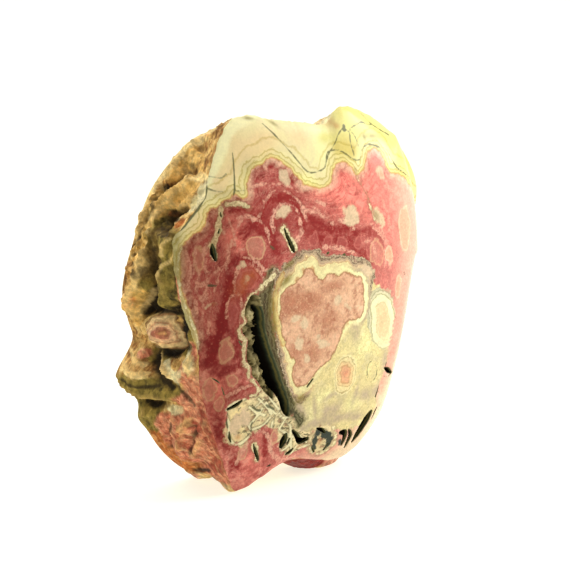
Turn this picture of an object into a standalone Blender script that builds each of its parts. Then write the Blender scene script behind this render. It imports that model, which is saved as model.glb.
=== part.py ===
"""Rhodochrosite slice: a thick slab sawn from a banded rhodochrosite stalactite.

The slab is one piece of stone that stands on its own lower edge. Its front is a polished,
gently domed face with open slots in it, its back is one flat saw cut, and the rim
between them is the rough outside of the stalactite.

It is drawn in millimetres: X to the right along the face, Y from the face towards the
back, Z up from the floor. The finished stone is in metres, with its origin on the floor
under the middle of its box.
"""

import math

import bmesh
import bpy
import numpy as np
from mathutils import Vector, noise

MM = 0.001

# The whole slab
HEART = (4.0, 31.0)  # X and Z of the point that the outlines are measured around
BACK_Y = 8.0  # the saw cut
NODE = "slice"

# The polished face is a shallow dome, squarer than an ellipse
DOME_MIDDLE = (3.0, 31.0)
DOME_LEFT, DOME_RIGHT = 36.0, 30.0
DOME_DOWN, DOME_UP = 37.0, 36.0
DOME_POWER = 2.6
DOME_RISE = 10.5
DOME_FOOT_Y = 2.0

# On the right the polish rolls over the edge, and on the left it ends at a sharp one
ROLL_START = 0.80  # share of the way out at which the roll begins
ROLL_EDGE_Y = 1.5
ROLL_SHARES = {-180: 0.02, -110: 0.04, -75: 0.35, -50: 1.0, 38: 1.0, 58: 0.6, 72: 0.2, 105: 0.12, 140: 0.02}
TOP_FALL_SHARES = {-180: 0.0, 40: 0.0, 60: 1.0, 95: 1.0, 112: 0.0}  # how fast the top drops behind the edge

# Mesh
FACE_CELLS = 38
RIM_ROWS = 15
CURVE_STEPS = 8  # points on a smooth outline between two given ones
EDGE_CROWDING = 0.35  # how far the face's rows close up towards its edge, from 0 to 1
LEFT_CROWDING = 0.35  # how far the columns close up towards the left rim, from 0 to 1

# Where the polished face ends, as X and Z
FACE_OUTLINE = (
    (-10.5, 62.3), (-7, 62.7), (-3.9, 61.9), (2.5, 60.8), (8.4, 59.9), (11.0, 61.6), (14.0, 62.3),
    (18.6, 61.0), (23.8, 58.8), (30.4, 54.2), (34.9, 47.4), (34.9, 41.5), (31.1, 31), (28.7, 22.6),
    (26.5, 15.5), (23.6, 7.8), (21.0, 4.8), (17.4, 2.2), (13.5, 1.3), (9.5, 1.7), (4.5, 3.1),
    (1.1, 4.0), (-2.6, 3.4), (-6.5, 1.9), (-9.1, 0.7), (-11.2, 0.5), (-12.8, 2.8), (-15.6, 8.4),
    (-18.6, 15.4), (-20.1, 21), (-20.4, 26), (-22.8, 32.6), (-24.1, 39), (-24.2, 44.5),
    (-22.5, 46.4), (-18.2, 51), (-17.2, 53.8), (-13.8, 59.5),
)

# The outline of the saw cut at the back
BACK_OUTLINE = (
    (-10.9, 56.9), (-6.2, 58.2), (-1.8, 58.6), (7, 58.0), (12, 57.8), (17, 57.0), (21.5, 55.2),
    (26.8, 51.5), (30.8, 46), (31.4, 40), (29.6, 31), (27.2, 22.6), (24.6, 15.4), (21.4, 8.8),
    (17.8, 4.8), (13.5, 2.2), (9, 1.2), (3, 1.8), (-4, 1.2), (-9.0, 0.3), (-13.0, 2.2),
    (-16.9, 5.8), (-19.8, 9.8), (-21.6, 12.2), (-21.8, 15.3), (-25.6, 19.3), (-25.7, 21),
    (-22.6, 25.6), (-23.4, 29.1), (-24.5, 33.3), (-23.8, 37.5), (-22.2, 41.8), (-20.9, 45.5),
    (-18.4, 50.2), (-14.4, 54.4),
)

# Forms on the left rim: depth Y, height Z, half length, half width, turn, how far it stands out.
# The turn is in degrees, from along the depth towards straight up.
RIM_FORMS = (
    (0.6, 56.2, 4.6, 3.0, 10, -1.3),  # gritty hollow under the top strip
    (5.6, 54.0, 5.5, 1.5, 100, 0.8),  # crest at its back
    (3.2, 51.6, 3.4, 1.5, 125, -1.5),  # crevice inside the crest
    (0.0, 51.2, 4.6, 1.6, 150, 0.7),  # slanted ridge below the hollow
    (-1.3, 47.6, 2.1, 1.9, 30, -1.9),  # burnt orange hole
    (3.6, 47.4, 3.4, 1.4, 100, 1.1),  # pale crest
    (-4.0, 42.6, 2.2, 2.8, 0, 1.4),  # upper olive lump
    (-3.2, 37.2, 2.1, 3.2, 0, 1.6),  # lower olive lump
    (0.2, 39.5, 4.0, 1.8, 75, -2.0),  # brown groove between the lumps and the wavy crest
    (1.4, 33.2, 4.0, 1.8, 130, -2.2),  # its black lower end
    (-3.6, 32.6, 2.6, 1.6, 110, -1.8),  # black crevice beside the face
    (2.4, 39.4, 4.4, 1.5, 95, 1.6),  # wavy yellow crest, upper end
    (4.9, 33.2, 4.0, 1.6, 120, 1.6),  # wavy yellow crest, lower end
    (5.6, 40.6, 2.6, 2.8, 0, 0.6),  # tan lump outside the crest
    (-0.7, 28.3, 3.0, 3.0, 0, 2.8),  # round knob
    (-3.6, 26.2, 3.0, 1.6, 100, -1.2),  # crevice under the knob, front
    (1.8, 25.0, 3.0, 1.6, 30, -1.4),  # crevice under the knob, back
    (5.2, 24.4, 2.4, 2.0, 0, 1.2),  # pinkish lump behind the knob
    (0.6, 21.8, 3.2, 1.6, 40, -1.8),  # black crevice below it
    (2.5, 18.6, 7.0, 1.8, 8, 1.9),  # olive ledge
    (3.4, 15.2, 4.4, 1.6, 8, -1.3),  # hollow under the ledge
    (-0.2, 14.0, 2.4, 1.8, 0, 0.8),  # crystals under the ledge
    (3.6, 9.6, 3.6, 1.6, 125, -0.7),  # shallow dips in the fractured flank
    (-2.4, 9.2, 3.4, 1.5, 120, -0.6),
    (1.2, 3.6, 3.0, 1.5, 150, -0.6),
)

# Forms on the underside: X, depth Y, half length, half width, turn, how far it stands down
UNDERSIDE_FORMS = (
    (9.4, 0.9, 5.2, 4.4, 0, 3.2),  # glossy lobe that is the right foot
    (-10.2, -3.4, 2.6, 2.2, 0, 0.8),  # toe of the left foot
    (-8.6, 6.4, 3.0, 1.8, 0, 0.9),  # heel of the left foot
    (-10.4, 2.0, 4.6, 3.0, 0, -1.6),  # arch between them
)

# The hidden sides carry rounded knobs, as the outside of a stalactite does
KNOB_SPACING = 8.5
KNOB_VALLEY = 1.5
GRIT_SIZE = 4.5
GRIT_HEIGHT = 0.5
FRONT_FADE, BACK_FADE = 0.14, 0.18  # shares of the rim's depth where its forms die away
RIM_BELLY = 0.5

# Openings in the polished face, each a slot along a path: X, Z and half width at each point, then
# the depth. The first is the long cavity beside the round nodule.
FACE_SLOTS = (
    (((-9.6, 33.4, 0.4), (-8.6, 32.2, 1.0), (-8.0, 30.2, 1.4), (-8.3, 28.4, 1.9), (-7.9, 26.4, 1.9),
      (-7.4, 24.8, 1.9), (-6.3, 22.2, 1.7), (-5.3, 19.3, 1.6), (-4.4, 17.3, 1.3), (-3.4, 15.7, 1.0),
      (-2.5, 13.8, 0.9), (-2.2, 12.4, 0.5)), 4.6),
    (((-17.5, 43.2, 0.25), (-17.4, 42.0, 0.55), (-17.1, 40.8, 0.4)), 2.2),
    (((-3.4, 44.3, 0.2), (-2.7, 42.6, 0.4), (-1.9, 41.0, 0.5), (-1.4, 40.1, 0.3)), 2.0),
    (((-14.8, 15.6, 0.25), (-13.2, 16.2, 0.4), (-12.0, 16.8, 0.25)), 1.5),
    (((-14.2, 11.6, 0.2), (-14.0, 10.6, 0.3), (-13.7, 9.8, 0.2)), 1.3),
    (((-9.1, 8.6, 0.2), (-8.6, 7.4, 0.35), (-8.0, 6.2, 0.35), (-7.6, 5.3, 0.2)), 1.8),
    (((-3.1, 7.1, 0.5), (-2.8, 8.2, 0.7), (-2.5, 9.2, 0.5)), 2.2),
    (((-1.0, 9.1, 0.25), (-0.1, 8.3, 0.4), (0.9, 7.4, 0.45), (2.6, 7.6, 0.3)), 2.0),
    (((5.0, 8.8, 0.3), (5.8, 8.3, 0.5), (6.3, 7.9, 0.3)), 1.4),
    (((10.2, 7.2, 0.25), (11.3, 7.1, 0.4), (11.8, 6.0, 0.35), (12.3, 4.2, 0.2)), 1.6),
    (((13.7, 7.1, 0.4), (14.8, 7.9, 0.7), (15.8, 8.4, 0.7), (16.6, 8.3, 0.4)), 2.4),
    (((19.9, 17.0, 0.3), (20.8, 16.2, 0.45), (21.6, 15.5, 0.4)), 1.4),
)
SLOT_START_Y = -11.0  # clear of the crown of the dome
SLOT_FLOOR_SHARE = 0.6  # width of a slot's floor against its mouth

STONE_COLOUR = (0.52, 0.16, 0.13, 1.0)
STONE_ROUGHNESS = 0.35


def smooth_step(value):
    """0 below 0, 1 above 1, and an S curve between."""
    held = np.clip(value, 0.0, 1.0)
    return held * held * (3.0 - 2.0 * held)


def closed_curve(points):
    """Points along a smooth closed curve that passes through the given ones."""
    made = []
    for i in range(len(points)):
        before, start, end, after = (np.array(points[(i + k) % len(points)]) for k in (-1, 0, 1, 2))
        for step in range(CURVE_STEPS):
            t = step / CURVE_STEPS
            bend = (end - before) * t + (2 * before - 5 * start + 4 * end - after) * t**2
            made.append(start + 0.5 * (bend + (3 * start - before - 3 * end + after) * t**3))
    return made


def reach(points):
    """A function that gives the radius of an outline around HEART at an angle."""
    polar = []
    for x, z in closed_curve(points):
        polar.append((math.atan2(z - HEART[1], x - HEART[0]), math.hypot(x - HEART[0], z - HEART[1])))
    angles, radii = zip(*sorted(polar))
    return lambda angle: float(np.interp(angle, angles, radii, period=math.tau))


FACE_REACH = reach(FACE_OUTLINE)
BACK_REACH = reach(BACK_OUTLINE)


def dome_y(x, z):
    """Depth of the polished dome, before it rolls over the edge."""
    across = abs(x - DOME_MIDDLE[0]) / (DOME_LEFT if x < DOME_MIDDLE[0] else DOME_RIGHT)
    up = abs(z - DOME_MIDDLE[1]) / (DOME_DOWN if z < DOME_MIDDLE[1] else DOME_UP)
    left = max(0.0, 1.0 - across**DOME_POWER - up**DOME_POWER)
    return DOME_FOOT_Y - DOME_RISE * left ** (1.0 / DOME_POWER)


def share_at(shares, angle):
    """Reads a table of shares by degrees at an angle."""
    degrees, values = zip(*sorted(shares.items()))
    return float(np.interp(math.degrees(angle), degrees, values, period=360.0))


def edge_place(angle):
    """X, depth and Z of the face's edge at an angle."""
    radius = FACE_REACH(angle)
    x = HEART[0] + radius * math.cos(angle)
    z = HEART[1] + radius * math.sin(angle)
    flat = dome_y(x, z)
    return x, flat + share_at(ROLL_SHARES, angle) * max(0.0, ROLL_EDGE_Y - flat), z


def face_place(angle, share):
    """A place on the polished face, at a share of the way from HEART to its edge."""
    radius = FACE_REACH(angle) * share
    x = HEART[0] + radius * math.cos(angle)
    z = HEART[1] + radius * math.sin(angle)
    edge_x, edge_y, edge_z = edge_place(angle)
    beyond = max(0.0, (share - ROLL_START) / (1.0 - ROLL_START))
    turned = 1.0 - math.sqrt(max(0.0, 1.0 - beyond * beyond))
    return x, dome_y(x, z) + turned * (edge_y - dome_y(edge_x, edge_z)), z


def form_height(forms, a, b):
    """How far the listed forms stand out together at a place."""
    height = 0.0
    for middle_a, middle_b, half_length, half_width, turn, stands in forms:
        cos, sin = math.cos(math.radians(turn)), math.sin(math.radians(turn))
        along = ((a - middle_a) * cos + (b - middle_b) * sin) / half_length
        across = ((b - middle_b) * cos - (a - middle_a) * sin) / half_width
        off = along * along + across * across
        if off < 4.0:
            height += stands * math.exp(-1.2 * off)
    return height


def rim_relief(x, y, z):
    """How far the rough rim stands out from its plain surface."""
    spot = Vector((x, y, z))
    left = float(smooth_step((HEART[0] - 10.0 - x) / 6.0)) * float(smooth_step(z / 3.0))
    under = float(smooth_step((9.0 - z) / 5.0))
    near, _ = noise.voronoi(spot / KNOB_SPACING, distance_metric="DISTANCE_SQUARED")
    knobs = -KNOB_VALLEY * min(near[0], 1.0) * (1.0 - left) * (1.0 - under)
    grit = GRIT_HEIGHT * noise.fractal(spot / GRIT_SIZE, 0.8, 2.0, 3)
    height = knobs + grit + left * form_height(RIM_FORMS, y, z)
    return height + under * form_height(UNDERSIDE_FORMS, x, y)


def rim_place(angle, depth):
    """A place on the rim, at a share of the way from the face's edge to the saw cut."""
    x, edge_y, z = edge_place(angle)
    front = FACE_REACH(angle)
    fall = share_at(TOP_FALL_SHARES, angle)
    eased = depth + fall * (math.sin(depth * math.pi / 2.0) - depth)
    radius = front + (BACK_REACH(angle) - front) * eased + RIM_BELLY * math.sin(math.pi * depth)
    x = HEART[0] + radius * math.cos(angle)
    y = edge_y + (BACK_Y - edge_y) * depth
    z = HEART[1] + radius * math.sin(angle)
    fade = float(smooth_step(depth / FRONT_FADE) * smooth_step((1.0 - depth) / BACK_FADE))
    out = fade * rim_relief(x, y, z)
    return x + out * math.cos(angle), y, z + out * math.sin(angle)


def angle_of(vert):
    """The angle around HEART of a vertex that is still in the flat drawing plane."""
    return math.atan2(vert.co.y, vert.co.x)


def crowd_left(vert):
    """Turns a vertex of the flat disc about its middle, so that the left side gets more columns."""
    angle = angle_of(vert)
    far = math.hypot(vert.co.x, vert.co.y)
    angle += LEFT_CROWDING * far * math.sin(angle)
    vert.co = (far * math.cos(angle), far * math.sin(angle), 0.0)


def open_edges(bm):
    """The edges around the hole that is still open."""
    return [edge for edge in bm.edges if edge.is_boundary]


def make_stone():
    """The whole stone without its slots, as one closed bmesh in millimetres."""
    bm = bmesh.new()
    bmesh.ops.create_grid(bm, x_segments=FACE_CELLS, y_segments=FACE_CELLS, size=1.0)
    for vert in bm.verts:
        # A square sheet is rounded into a disc, so that no cell closes to a point
        u, v, _ = vert.co
        vert.co = (u * math.sqrt(1.0 - v * v / 2.0), v * math.sqrt(1.0 - u * u / 2.0), 0.0)
        crowd_left(vert)
    face = set(bm.verts)
    rows = []
    ring = open_edges(bm)
    for row in range(RIM_ROWS):
        made = bmesh.ops.extrude_edge_only(bm, edges=ring)["geom"]
        rows.append([item for item in made if isinstance(item, bmesh.types.BMVert)])
        ring = open_edges(bm)
    bmesh.ops.contextual_create(bm, geom=ring)
    for row, verts in enumerate(rows, start=1):
        for vert in verts:
            vert.co = rim_place(angle_of(vert), row / RIM_ROWS)
    for vert in face:
        share = min(1.0, math.hypot(vert.co.x, vert.co.y))
        crowded = math.sin(share * math.pi / 2.0)
        share += EDGE_CROWDING * (crowded - share)
        vert.co = face_place(angle_of(vert), share)
    for vert in bm.verts:
        # The feet are worn level with the floor
        vert.co.z = max(0.0, vert.co.z)
    bmesh.ops.recalc_face_normals(bm, faces=bm.faces)
    return bm


def make_slot(bm, path, depth):
    """Adds a cutter that follows the path and narrows towards its floor."""
    sections = []
    for i, (x, z, half_width) in enumerate(path):
        before, after = path[max(0, i - 1)], path[min(len(path) - 1, i + 1)]
        across = Vector((after[1] - before[1], before[0] - after[0])).normalized() * half_width
        floor_y = dome_y(x, z) + depth
        sections.append([
            bm.verts.new((x - across.x, SLOT_START_Y, z - across.y)),
            bm.verts.new((x + across.x, SLOT_START_Y, z + across.y)),
            bm.verts.new((x + across.x * SLOT_FLOOR_SHARE, floor_y, z + across.y * SLOT_FLOOR_SHARE)),
            bm.verts.new((x - across.x * SLOT_FLOOR_SHARE, floor_y, z - across.y * SLOT_FLOOR_SHARE)),
        ])
    made = [bm.faces.new(sections[0]), bm.faces.new(sections[-1])]
    for near, far in zip(sections, sections[1:]):
        for k in range(4):
            made.append(bm.faces.new((near[k], near[k - 1], far[k - 1], far[k])))
    bmesh.ops.recalc_face_normals(bm, faces=made)


def stone_material():
    material = bpy.data.materials.new("rhodochrosite")
    material.use_nodes = True
    shader = material.node_tree.nodes["Principled BSDF"]
    shader.inputs["Base Color"].default_value = STONE_COLOUR
    shader.inputs["Roughness"].default_value = STONE_ROUGHNESS
    shader.inputs["Metallic"].default_value = 0.0
    return material


def mesh_object(name, bm, shift):
    """Puts a bmesh into the scene in metres, moved so that the origin is under its middle."""
    bmesh.ops.translate(bm, verts=bm.verts, vec=-shift)
    bmesh.ops.scale(bm, verts=bm.verts, vec=Vector((MM, MM, MM)))
    mesh = bpy.data.meshes.new(name)
    bm.to_mesh(mesh)
    bm.free()
    obj = bpy.data.objects.new(name, mesh)
    bpy.context.scene.collection.objects.link(obj)
    return obj


def floor_middle(bm):
    """The point on the floor under the middle of the stone's box."""
    xs = [vert.co.x for vert in bm.verts]
    ys = [vert.co.y for vert in bm.verts]
    lowest = min(vert.co.z for vert in bm.verts)
    return Vector(((min(xs) + max(xs)) / 2.0, (min(ys) + max(ys)) / 2.0, lowest))


def main():
    for obj in list(bpy.data.objects):
        bpy.data.objects.remove(obj, do_unlink=True)
    stone = make_stone()
    shift = floor_middle(stone)
    cutters = bmesh.new()
    for path, depth in FACE_SLOTS:
        make_slot(cutters, path, depth)
    slice_object = mesh_object(NODE, stone, shift)
    cutter_object = mesh_object("slots", cutters, shift)
    cutter_object.hide_render = True
    cutter_object.display_type = "WIRE"
    slice_object.data.materials.append(stone_material())
    slice_object.data.shade_smooth()
    slice_object.data.set_sharp_from_angle(angle=math.radians(40.0))
    cut = slice_object.modifiers.new("slots", "BOOLEAN")
    cut.operation = "DIFFERENCE"
    cut.solver = "EXACT"
    cut.object = cutter_object


main()
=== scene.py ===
"""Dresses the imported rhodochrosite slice: polished banded face, crusted rim and sawn back.

The stone is drawn in millimetres: X to the right along the face, Y from the face towards the
back, Z up from the floor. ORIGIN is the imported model's origin in that drawing.
"""

import math

import bmesh
import bpy
import numpy as np
from bpy.props import FloatProperty, FloatVectorProperty, IntProperty, PointerProperty
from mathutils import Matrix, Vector, noise


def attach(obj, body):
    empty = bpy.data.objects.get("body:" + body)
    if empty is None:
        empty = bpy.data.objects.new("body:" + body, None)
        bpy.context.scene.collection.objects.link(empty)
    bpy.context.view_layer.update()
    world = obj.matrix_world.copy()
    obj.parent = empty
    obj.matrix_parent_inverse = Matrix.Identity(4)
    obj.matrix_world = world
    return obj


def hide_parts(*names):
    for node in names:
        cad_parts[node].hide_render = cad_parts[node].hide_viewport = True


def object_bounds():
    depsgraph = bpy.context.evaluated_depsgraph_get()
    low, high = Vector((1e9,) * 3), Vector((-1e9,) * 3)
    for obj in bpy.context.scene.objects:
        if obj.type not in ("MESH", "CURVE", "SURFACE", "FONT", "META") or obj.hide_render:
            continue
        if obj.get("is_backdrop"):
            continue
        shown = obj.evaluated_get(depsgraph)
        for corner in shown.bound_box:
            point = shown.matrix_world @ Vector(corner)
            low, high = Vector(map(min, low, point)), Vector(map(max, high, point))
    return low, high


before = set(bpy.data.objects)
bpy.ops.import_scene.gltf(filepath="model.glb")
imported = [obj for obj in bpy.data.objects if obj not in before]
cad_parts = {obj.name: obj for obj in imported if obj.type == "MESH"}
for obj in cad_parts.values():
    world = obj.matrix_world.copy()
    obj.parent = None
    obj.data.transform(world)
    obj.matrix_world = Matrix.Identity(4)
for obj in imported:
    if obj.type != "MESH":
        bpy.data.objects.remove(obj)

bl_info = {
    "name": "Rhodochrosite slice",
    "version": (1, 0, 0),
    "blender": (4, 5, 0),
    "location": "View3D > Sidebar > Stone",
    "description": "Models a polished, banded rhodochrosite slice with a crusted rim",
    "category": "Object",
}

CAD_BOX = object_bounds()
NODE = "slice"
MM = 0.001
ORIGIN = (4.641, -0.25, 0.0)

# ---------------------------------------------------------------- shape of the slab
# Outlines are X and Z. Shares are listed by the angle around HEART in degrees, from the right upwards.
HEART = (4.0, 31.0)
BACK_Y = 8.0
DOME_MIDDLE = (3.0, 31.0)
DOME_LEFT, DOME_RIGHT = 36.0, 30.0
DOME_DOWN, DOME_UP = 37.0, 36.0
DOME_POWER = 2.6
DOME_RISE = 10.5
DOME_FOOT_Y = 2.0
ROLL_START = 0.80  # share of the way from HEART to the edge where the face begins to roll over
ROLL_EDGE_Y = 1.5
ROLL_SHARES = {-180: 0.02, -110: 0.04, -75: 0.35, -50: 1, 38: 1, 58: 0.6, 72: 0.2, 105: 0.12, 140: 0.02}
TOP_FALL_SHARES = {-180: 0, 40: 0, 60: 1, 95: 1, 112: 0}
EDGE_CROWDING = 0.35  # how much closer cells lie at the face's edge
LEFT_CROWDING = 0.42  # and on the left side

FACE_OUTLINE = (
    (-10.5, 62.3), (-7, 62.7), (-3.9, 61.9), (2.5, 60.8), (8.4, 59.9), (11, 61.6), (14, 62.3), (18.6, 61),
    (23.8, 58.8), (30.4, 54.2), (34.9, 47.4), (34.9, 41.5), (31.1, 31), (28.7, 22.6), (26.5, 15.5),
    (23.6, 7.8), (21, 4.8), (17.4, 2.2), (13.5, 1.3), (9.5, 1.7), (4.5, 3.1), (1.1, 4), (-2.6, 3.4),
    (-6.5, 1.9), (-9.1, 0.7), (-11.2, 0.5), (-12.8, 2.8), (-15.6, 8.4), (-18.6, 15.4), (-20.1, 21),
    (-20.4, 26), (-22.8, 32.6), (-24.1, 39), (-24.2, 44.5), (-22.5, 46.4), (-18.2, 51), (-17.2, 53.8),
    (-13.8, 59.5),
)
BACK_OUTLINE = (
    (-10.9, 56.9), (-6.2, 58.2), (-1.8, 58.6), (7, 58), (12, 57.8), (17, 57), (21.5, 55.2), (26.8, 51.5),
    (30.8, 46), (31.4, 40), (29.6, 31), (27.2, 22.6), (24.6, 15.4), (21.4, 8.8), (17.8, 4.8), (13.5, 2.2),
    (9, 1.2), (3, 1.8), (-4, 1.2), (-9, 0.3), (-13, 2.2), (-16.9, 5.8), (-19.8, 9.8), (-21.6, 12.2),
    (-21.8, 15.3), (-25.6, 19.3), (-25.7, 21), (-22.6, 25.6), (-23.4, 29.1), (-24.5, 33.3), (-23.8, 37.5),
    (-22.2, 41.8), (-20.9, 45.5), (-18.4, 50.2), (-14.4, 54.4),
)

# Forms on the left rim: depth Y, height Z, half length, half width, turn in degrees, how far it
# stands out. The first group are the slab's own, the second are finer.
RIM_FORMS = (
    (0.6, 56.2, 4.6, 3, 10, -1.3), (5.6, 54, 5.5, 1.5, 100, 0.8), (3.2, 51.6, 3.4, 1.5, 125, -1.5),
    (0, 51.2, 4.6, 1.6, 150, 0.7), (-1.3, 47.6, 2.1, 1.9, 30, -1.9), (3.6, 47.4, 3.4, 1.4, 100, 1.1),
    (-4, 42.6, 2.2, 2.8, 0, 1.4), (-3.2, 37.2, 2.1, 3.2, 0, 1.6), (0.2, 39.5, 4, 1.8, 75, -2),
    (1.4, 33.2, 4, 1.8, 130, -2.2), (-3.6, 32.6, 2.6, 1.2, 110, -1), (2.4, 39.4, 4.4, 1.5, 95, 1.6),
    (4.9, 33.2, 4, 1.6, 120, 1.6), (5.6, 40.6, 2.6, 2.8, 0, 0.6), (-0.7, 28.3, 3, 3, 0, 2.8),
    (-3.6, 26.2, 3, 1.6, 100, -1.2), (1.8, 25, 3, 1.6, 30, -1.4), (5.2, 24.4, 2.4, 2, 0, 1.2),
    (0.6, 21.8, 3.2, 1.6, 40, -1.8), (2.5, 18.6, 7, 1.8, 8, 1.9), (3.4, 15.2, 4.4, 1.6, 8, -1.3),
    (-0.2, 14, 2.4, 1.8, 0, 0.8), (3.6, 9.6, 3.6, 1.6, 125, -0.7), (-2.4, 9.2, 3.4, 1.5, 120, -0.6),
    (1.2, 3.6, 3, 1.5, 150, -0.6), (-2.9, 33.8, 0.9, 1.3, 0, 1.3),
)
FINE_FORMS = (
    (2.6, 58.2, 1.2, 0.4, -6, -0.6), (0.2, 55, 3.2, 0.6, 20, -0.5), (-1.4, 57.2, 2.6, 0.7, 12, 0.4),
    (2.9, 55.9, 1.8, 0.8, 60, 0.5), (4.2, 51.2, 1.3, 0.9, 110, 0.8), (-1.2, 50, 3, 0.5, 145, -0.6),
    (1.4, 49.4, 3.4, 0.6, 140, 0.6), (-1, 48.4, 1.2, 0.6, 20, -0.9), (1.2, 46.4, 1.6, 0.7, 10, 0.6),
    (4.9, 48, 2.6, 0.5, 95, -0.9), (6.6, 46, 1.4, 0.9, 80, 0.5), (0.6, 44.4, 4.2, 0.6, 170, 0.5),
    (-2, 45.2, 2.2, 0.5, 160, -0.6), (-2.1, 40.2, 2.2, 0.5, 100, -0.7), (-5.6, 40.2, 1.4, 0.6, 10, -0.6),
    (4.4, 38.6, 2.8, 0.5, 100, -0.6), (6.9, 42.6, 1.2, 0.5, 30, -0.7), (7, 38.4, 1.6, 0.7, 110, 0.5),
    (2.6, 35.2, 3, 0.5, 125, -0.7), (6.6, 31.6, 1.8, 0.6, 110, 0.6), (0.8, 27.6, 1, 0.9, 0, -0.7),
    (-2.6, 28.6, 2.4, 0.4, 80, -0.4), (-0.4, 30.4, 2, 0.4, 0, -0.4), (-1.2, 22.4, 2.4, 0.5, 40, 0.9),
    (4.6, 22, 2.6, 0.5, 12, 0.7), (6.2, 23.6, 1.6, 0.5, 20, -0.6), (-3.6, 21.8, 1, 0.7, 60, 0.7),
    (-2.4, 23.6, 1.2, 0.5, 100, 0.5), (0.4, 19.2, 3.4, 0.5, 10, -0.5), (4.6, 17.6, 2.6, 0.5, 14, 0.5),
    (6.8, 19.6, 1.2, 0.7, 40, 0.6), (6.2, 13.6, 1.8, 0.7, 60, 0.7), (1.4, 14.6, 1, 0.6, 20, 0.6),
    (-3, 13.6, 1.2, 0.6, 70, 0.5), (5.6, 11.2, 2.4, 0.5, 120, -0.5), (0.8, 10.6, 3, 0.5, 125, -0.6),
    (-0.8, 7.4, 3, 0.5, 130, 0.5), (3.4, 6, 3, 0.5, 130, 0.5), (5.6, 4.2, 2.4, 0.5, 140, -0.5),
    (1.6, 3, 2, 0.5, 160, -0.7), (-3.4, 5.4, 2.6, 0.5, 125, -0.5),
)
# Forms of the underside: X and depth Y instead
UNDERSIDE_FORMS = (
    (9.4, 0.9, 5.2, 4.4, 0, 3.2), (-10.2, -3.4, 2.6, 2.2, 0, 0.8), (-8.6, 6.4, 3, 1.8, 0, 0.9),
    (-10.4, 2, 4.6, 3, 0, -1.6),
)
FORM_REACH, FORM_FALL = 2.0, 1.2  # where a form ends, in its own half sizes, and how steeply it falls
LEFT_START_X, LEFT_RUN, LEFT_FOOT_RUN = -6.0, 6.0, 3.0  # where the left rim begins, and how fast
UNDERSIDE_TOP_Z, UNDERSIDE_RUN = 9.0, 5.0
KNOB_SPACING, KNOB_VALLEY = 8.5, 1.5
GRIT_SIZE, GRIT_HEIGHT = 4.5, 0.5
SMALL_KNOBS, SMALL_KNOB_VALLEY, SMALL_KNOBS_LEFT = 2.6, 0.45, 0.5
LAYER_SIZE = (4.5, 1.3, 4.5)  # the crust's layers run round the rim, so they are thin across it
LAYER_HEIGHT, LAYERS_RIGHT = 0.62, 0.35
CALM_TOP_Z, CALM_TOP_RUN, CALM_TOP_SHARE = 50.0, 4.0, 0.7  # the left rim's layers are lower at its top
CHIP_SIZE, CHIP_HEIGHT = 0.8, 0.26
UNDERSIDE_CALM = 0.6
BROAD_SHOWN = 0.3  # how much of the broad relief the crust's painted shade and highlight follow
# Narrow crevices and sharp crests on the left rim: depth Y, height Z and half width along each
GROOVES = (
    ((1, 58.2, 0.15), (2.4, 58.5, 0.35), (3.9, 58.6, 0.15)),
    ((2.2, 53.2, 0.2), (3, 51.6, 0.5), (4, 50.2, 0.5), (4.6, 48.4, 0.4), (5, 46.4, 0.4), (4.8, 45, 0.2)),
    ((-2.9, 49.2, 0.2), (-1.9, 48, 0.5), (-0.8, 47.6, 0.5), (0.8, 47.8, 0.2)),
    ((-2.4, 46.4, 0.2), (-0.6, 46, 0.3), (1.2, 46.6, 0.15)),
    ((-1.8, 41.8, 0.2), (-1.3, 40.2, 0.45), (-0.5, 38.6, 0.5), (0, 37, 0.4), (0.7, 35.4, 0.45),
        (1.8, 33.6, 0.6), (3, 32.2, 0.6), (4.2, 30.8, 0.3)),
    ((-5.4, 34, 0.2), (-4.4, 33.2, 0.3), (-3.6, 33, 0.15)),
    ((-1.6, 33.6, 0.15), (-0.9, 34.4, 0.3), (-0.2, 35.4, 0.2)),
    ((-3.6, 31.8, 0.3), (-1.4, 32.2, 0.6), (0.6, 32.4, 0.7), (2.2, 31.6, 0.5)),
    ((-5.2, 31.2, 0.4), (-4.3, 29.2, 0.4), (-3.6, 27.2, 0.45), (-2.6, 25.8, 0.5), (-1, 24.9, 0.5),
        (0.6, 24.6, 0.4), (1.9, 25.6, 0.5), (3, 26.8, 0.4)),
    ((-0.6, 20.7, 0.2), (0.6, 21.5, 0.5), (1.6, 22.5, 0.45), (2.3, 23.7, 0.3), (2.4, 24.8, 0.15)),
    ((1.6, 21.9, 0.2), (0.1, 20.4, 0.4), (-1.4, 19.2, 0.25)),
    ((3.4, 15.4, 0.2), (5, 14.8, 0.4), (6.6, 15.3, 0.2)),
    ((-0.4, 3.4, 0.15), (1.2, 3, 0.35), (3, 2.5, 0.35), (4.6, 2.2, 0.2)),
    ((6.4, 43, 0.15), (7.2, 42.2, 0.35), (7.6, 41.4, 0.2)),
    ((0.4, 54.8, 0.1), (2, 54.6, 0.22), (3.6, 55, 0.15)),
    ((-6, 33.6, 0.2), (-5.8, 31.6, 0.4), (-5.6, 30.2, 0.2)),
    ((4.2, 38.9, 0.1), (5.4, 38.5, 0.2), (6.8, 38.9, 0.15)),
)
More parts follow.
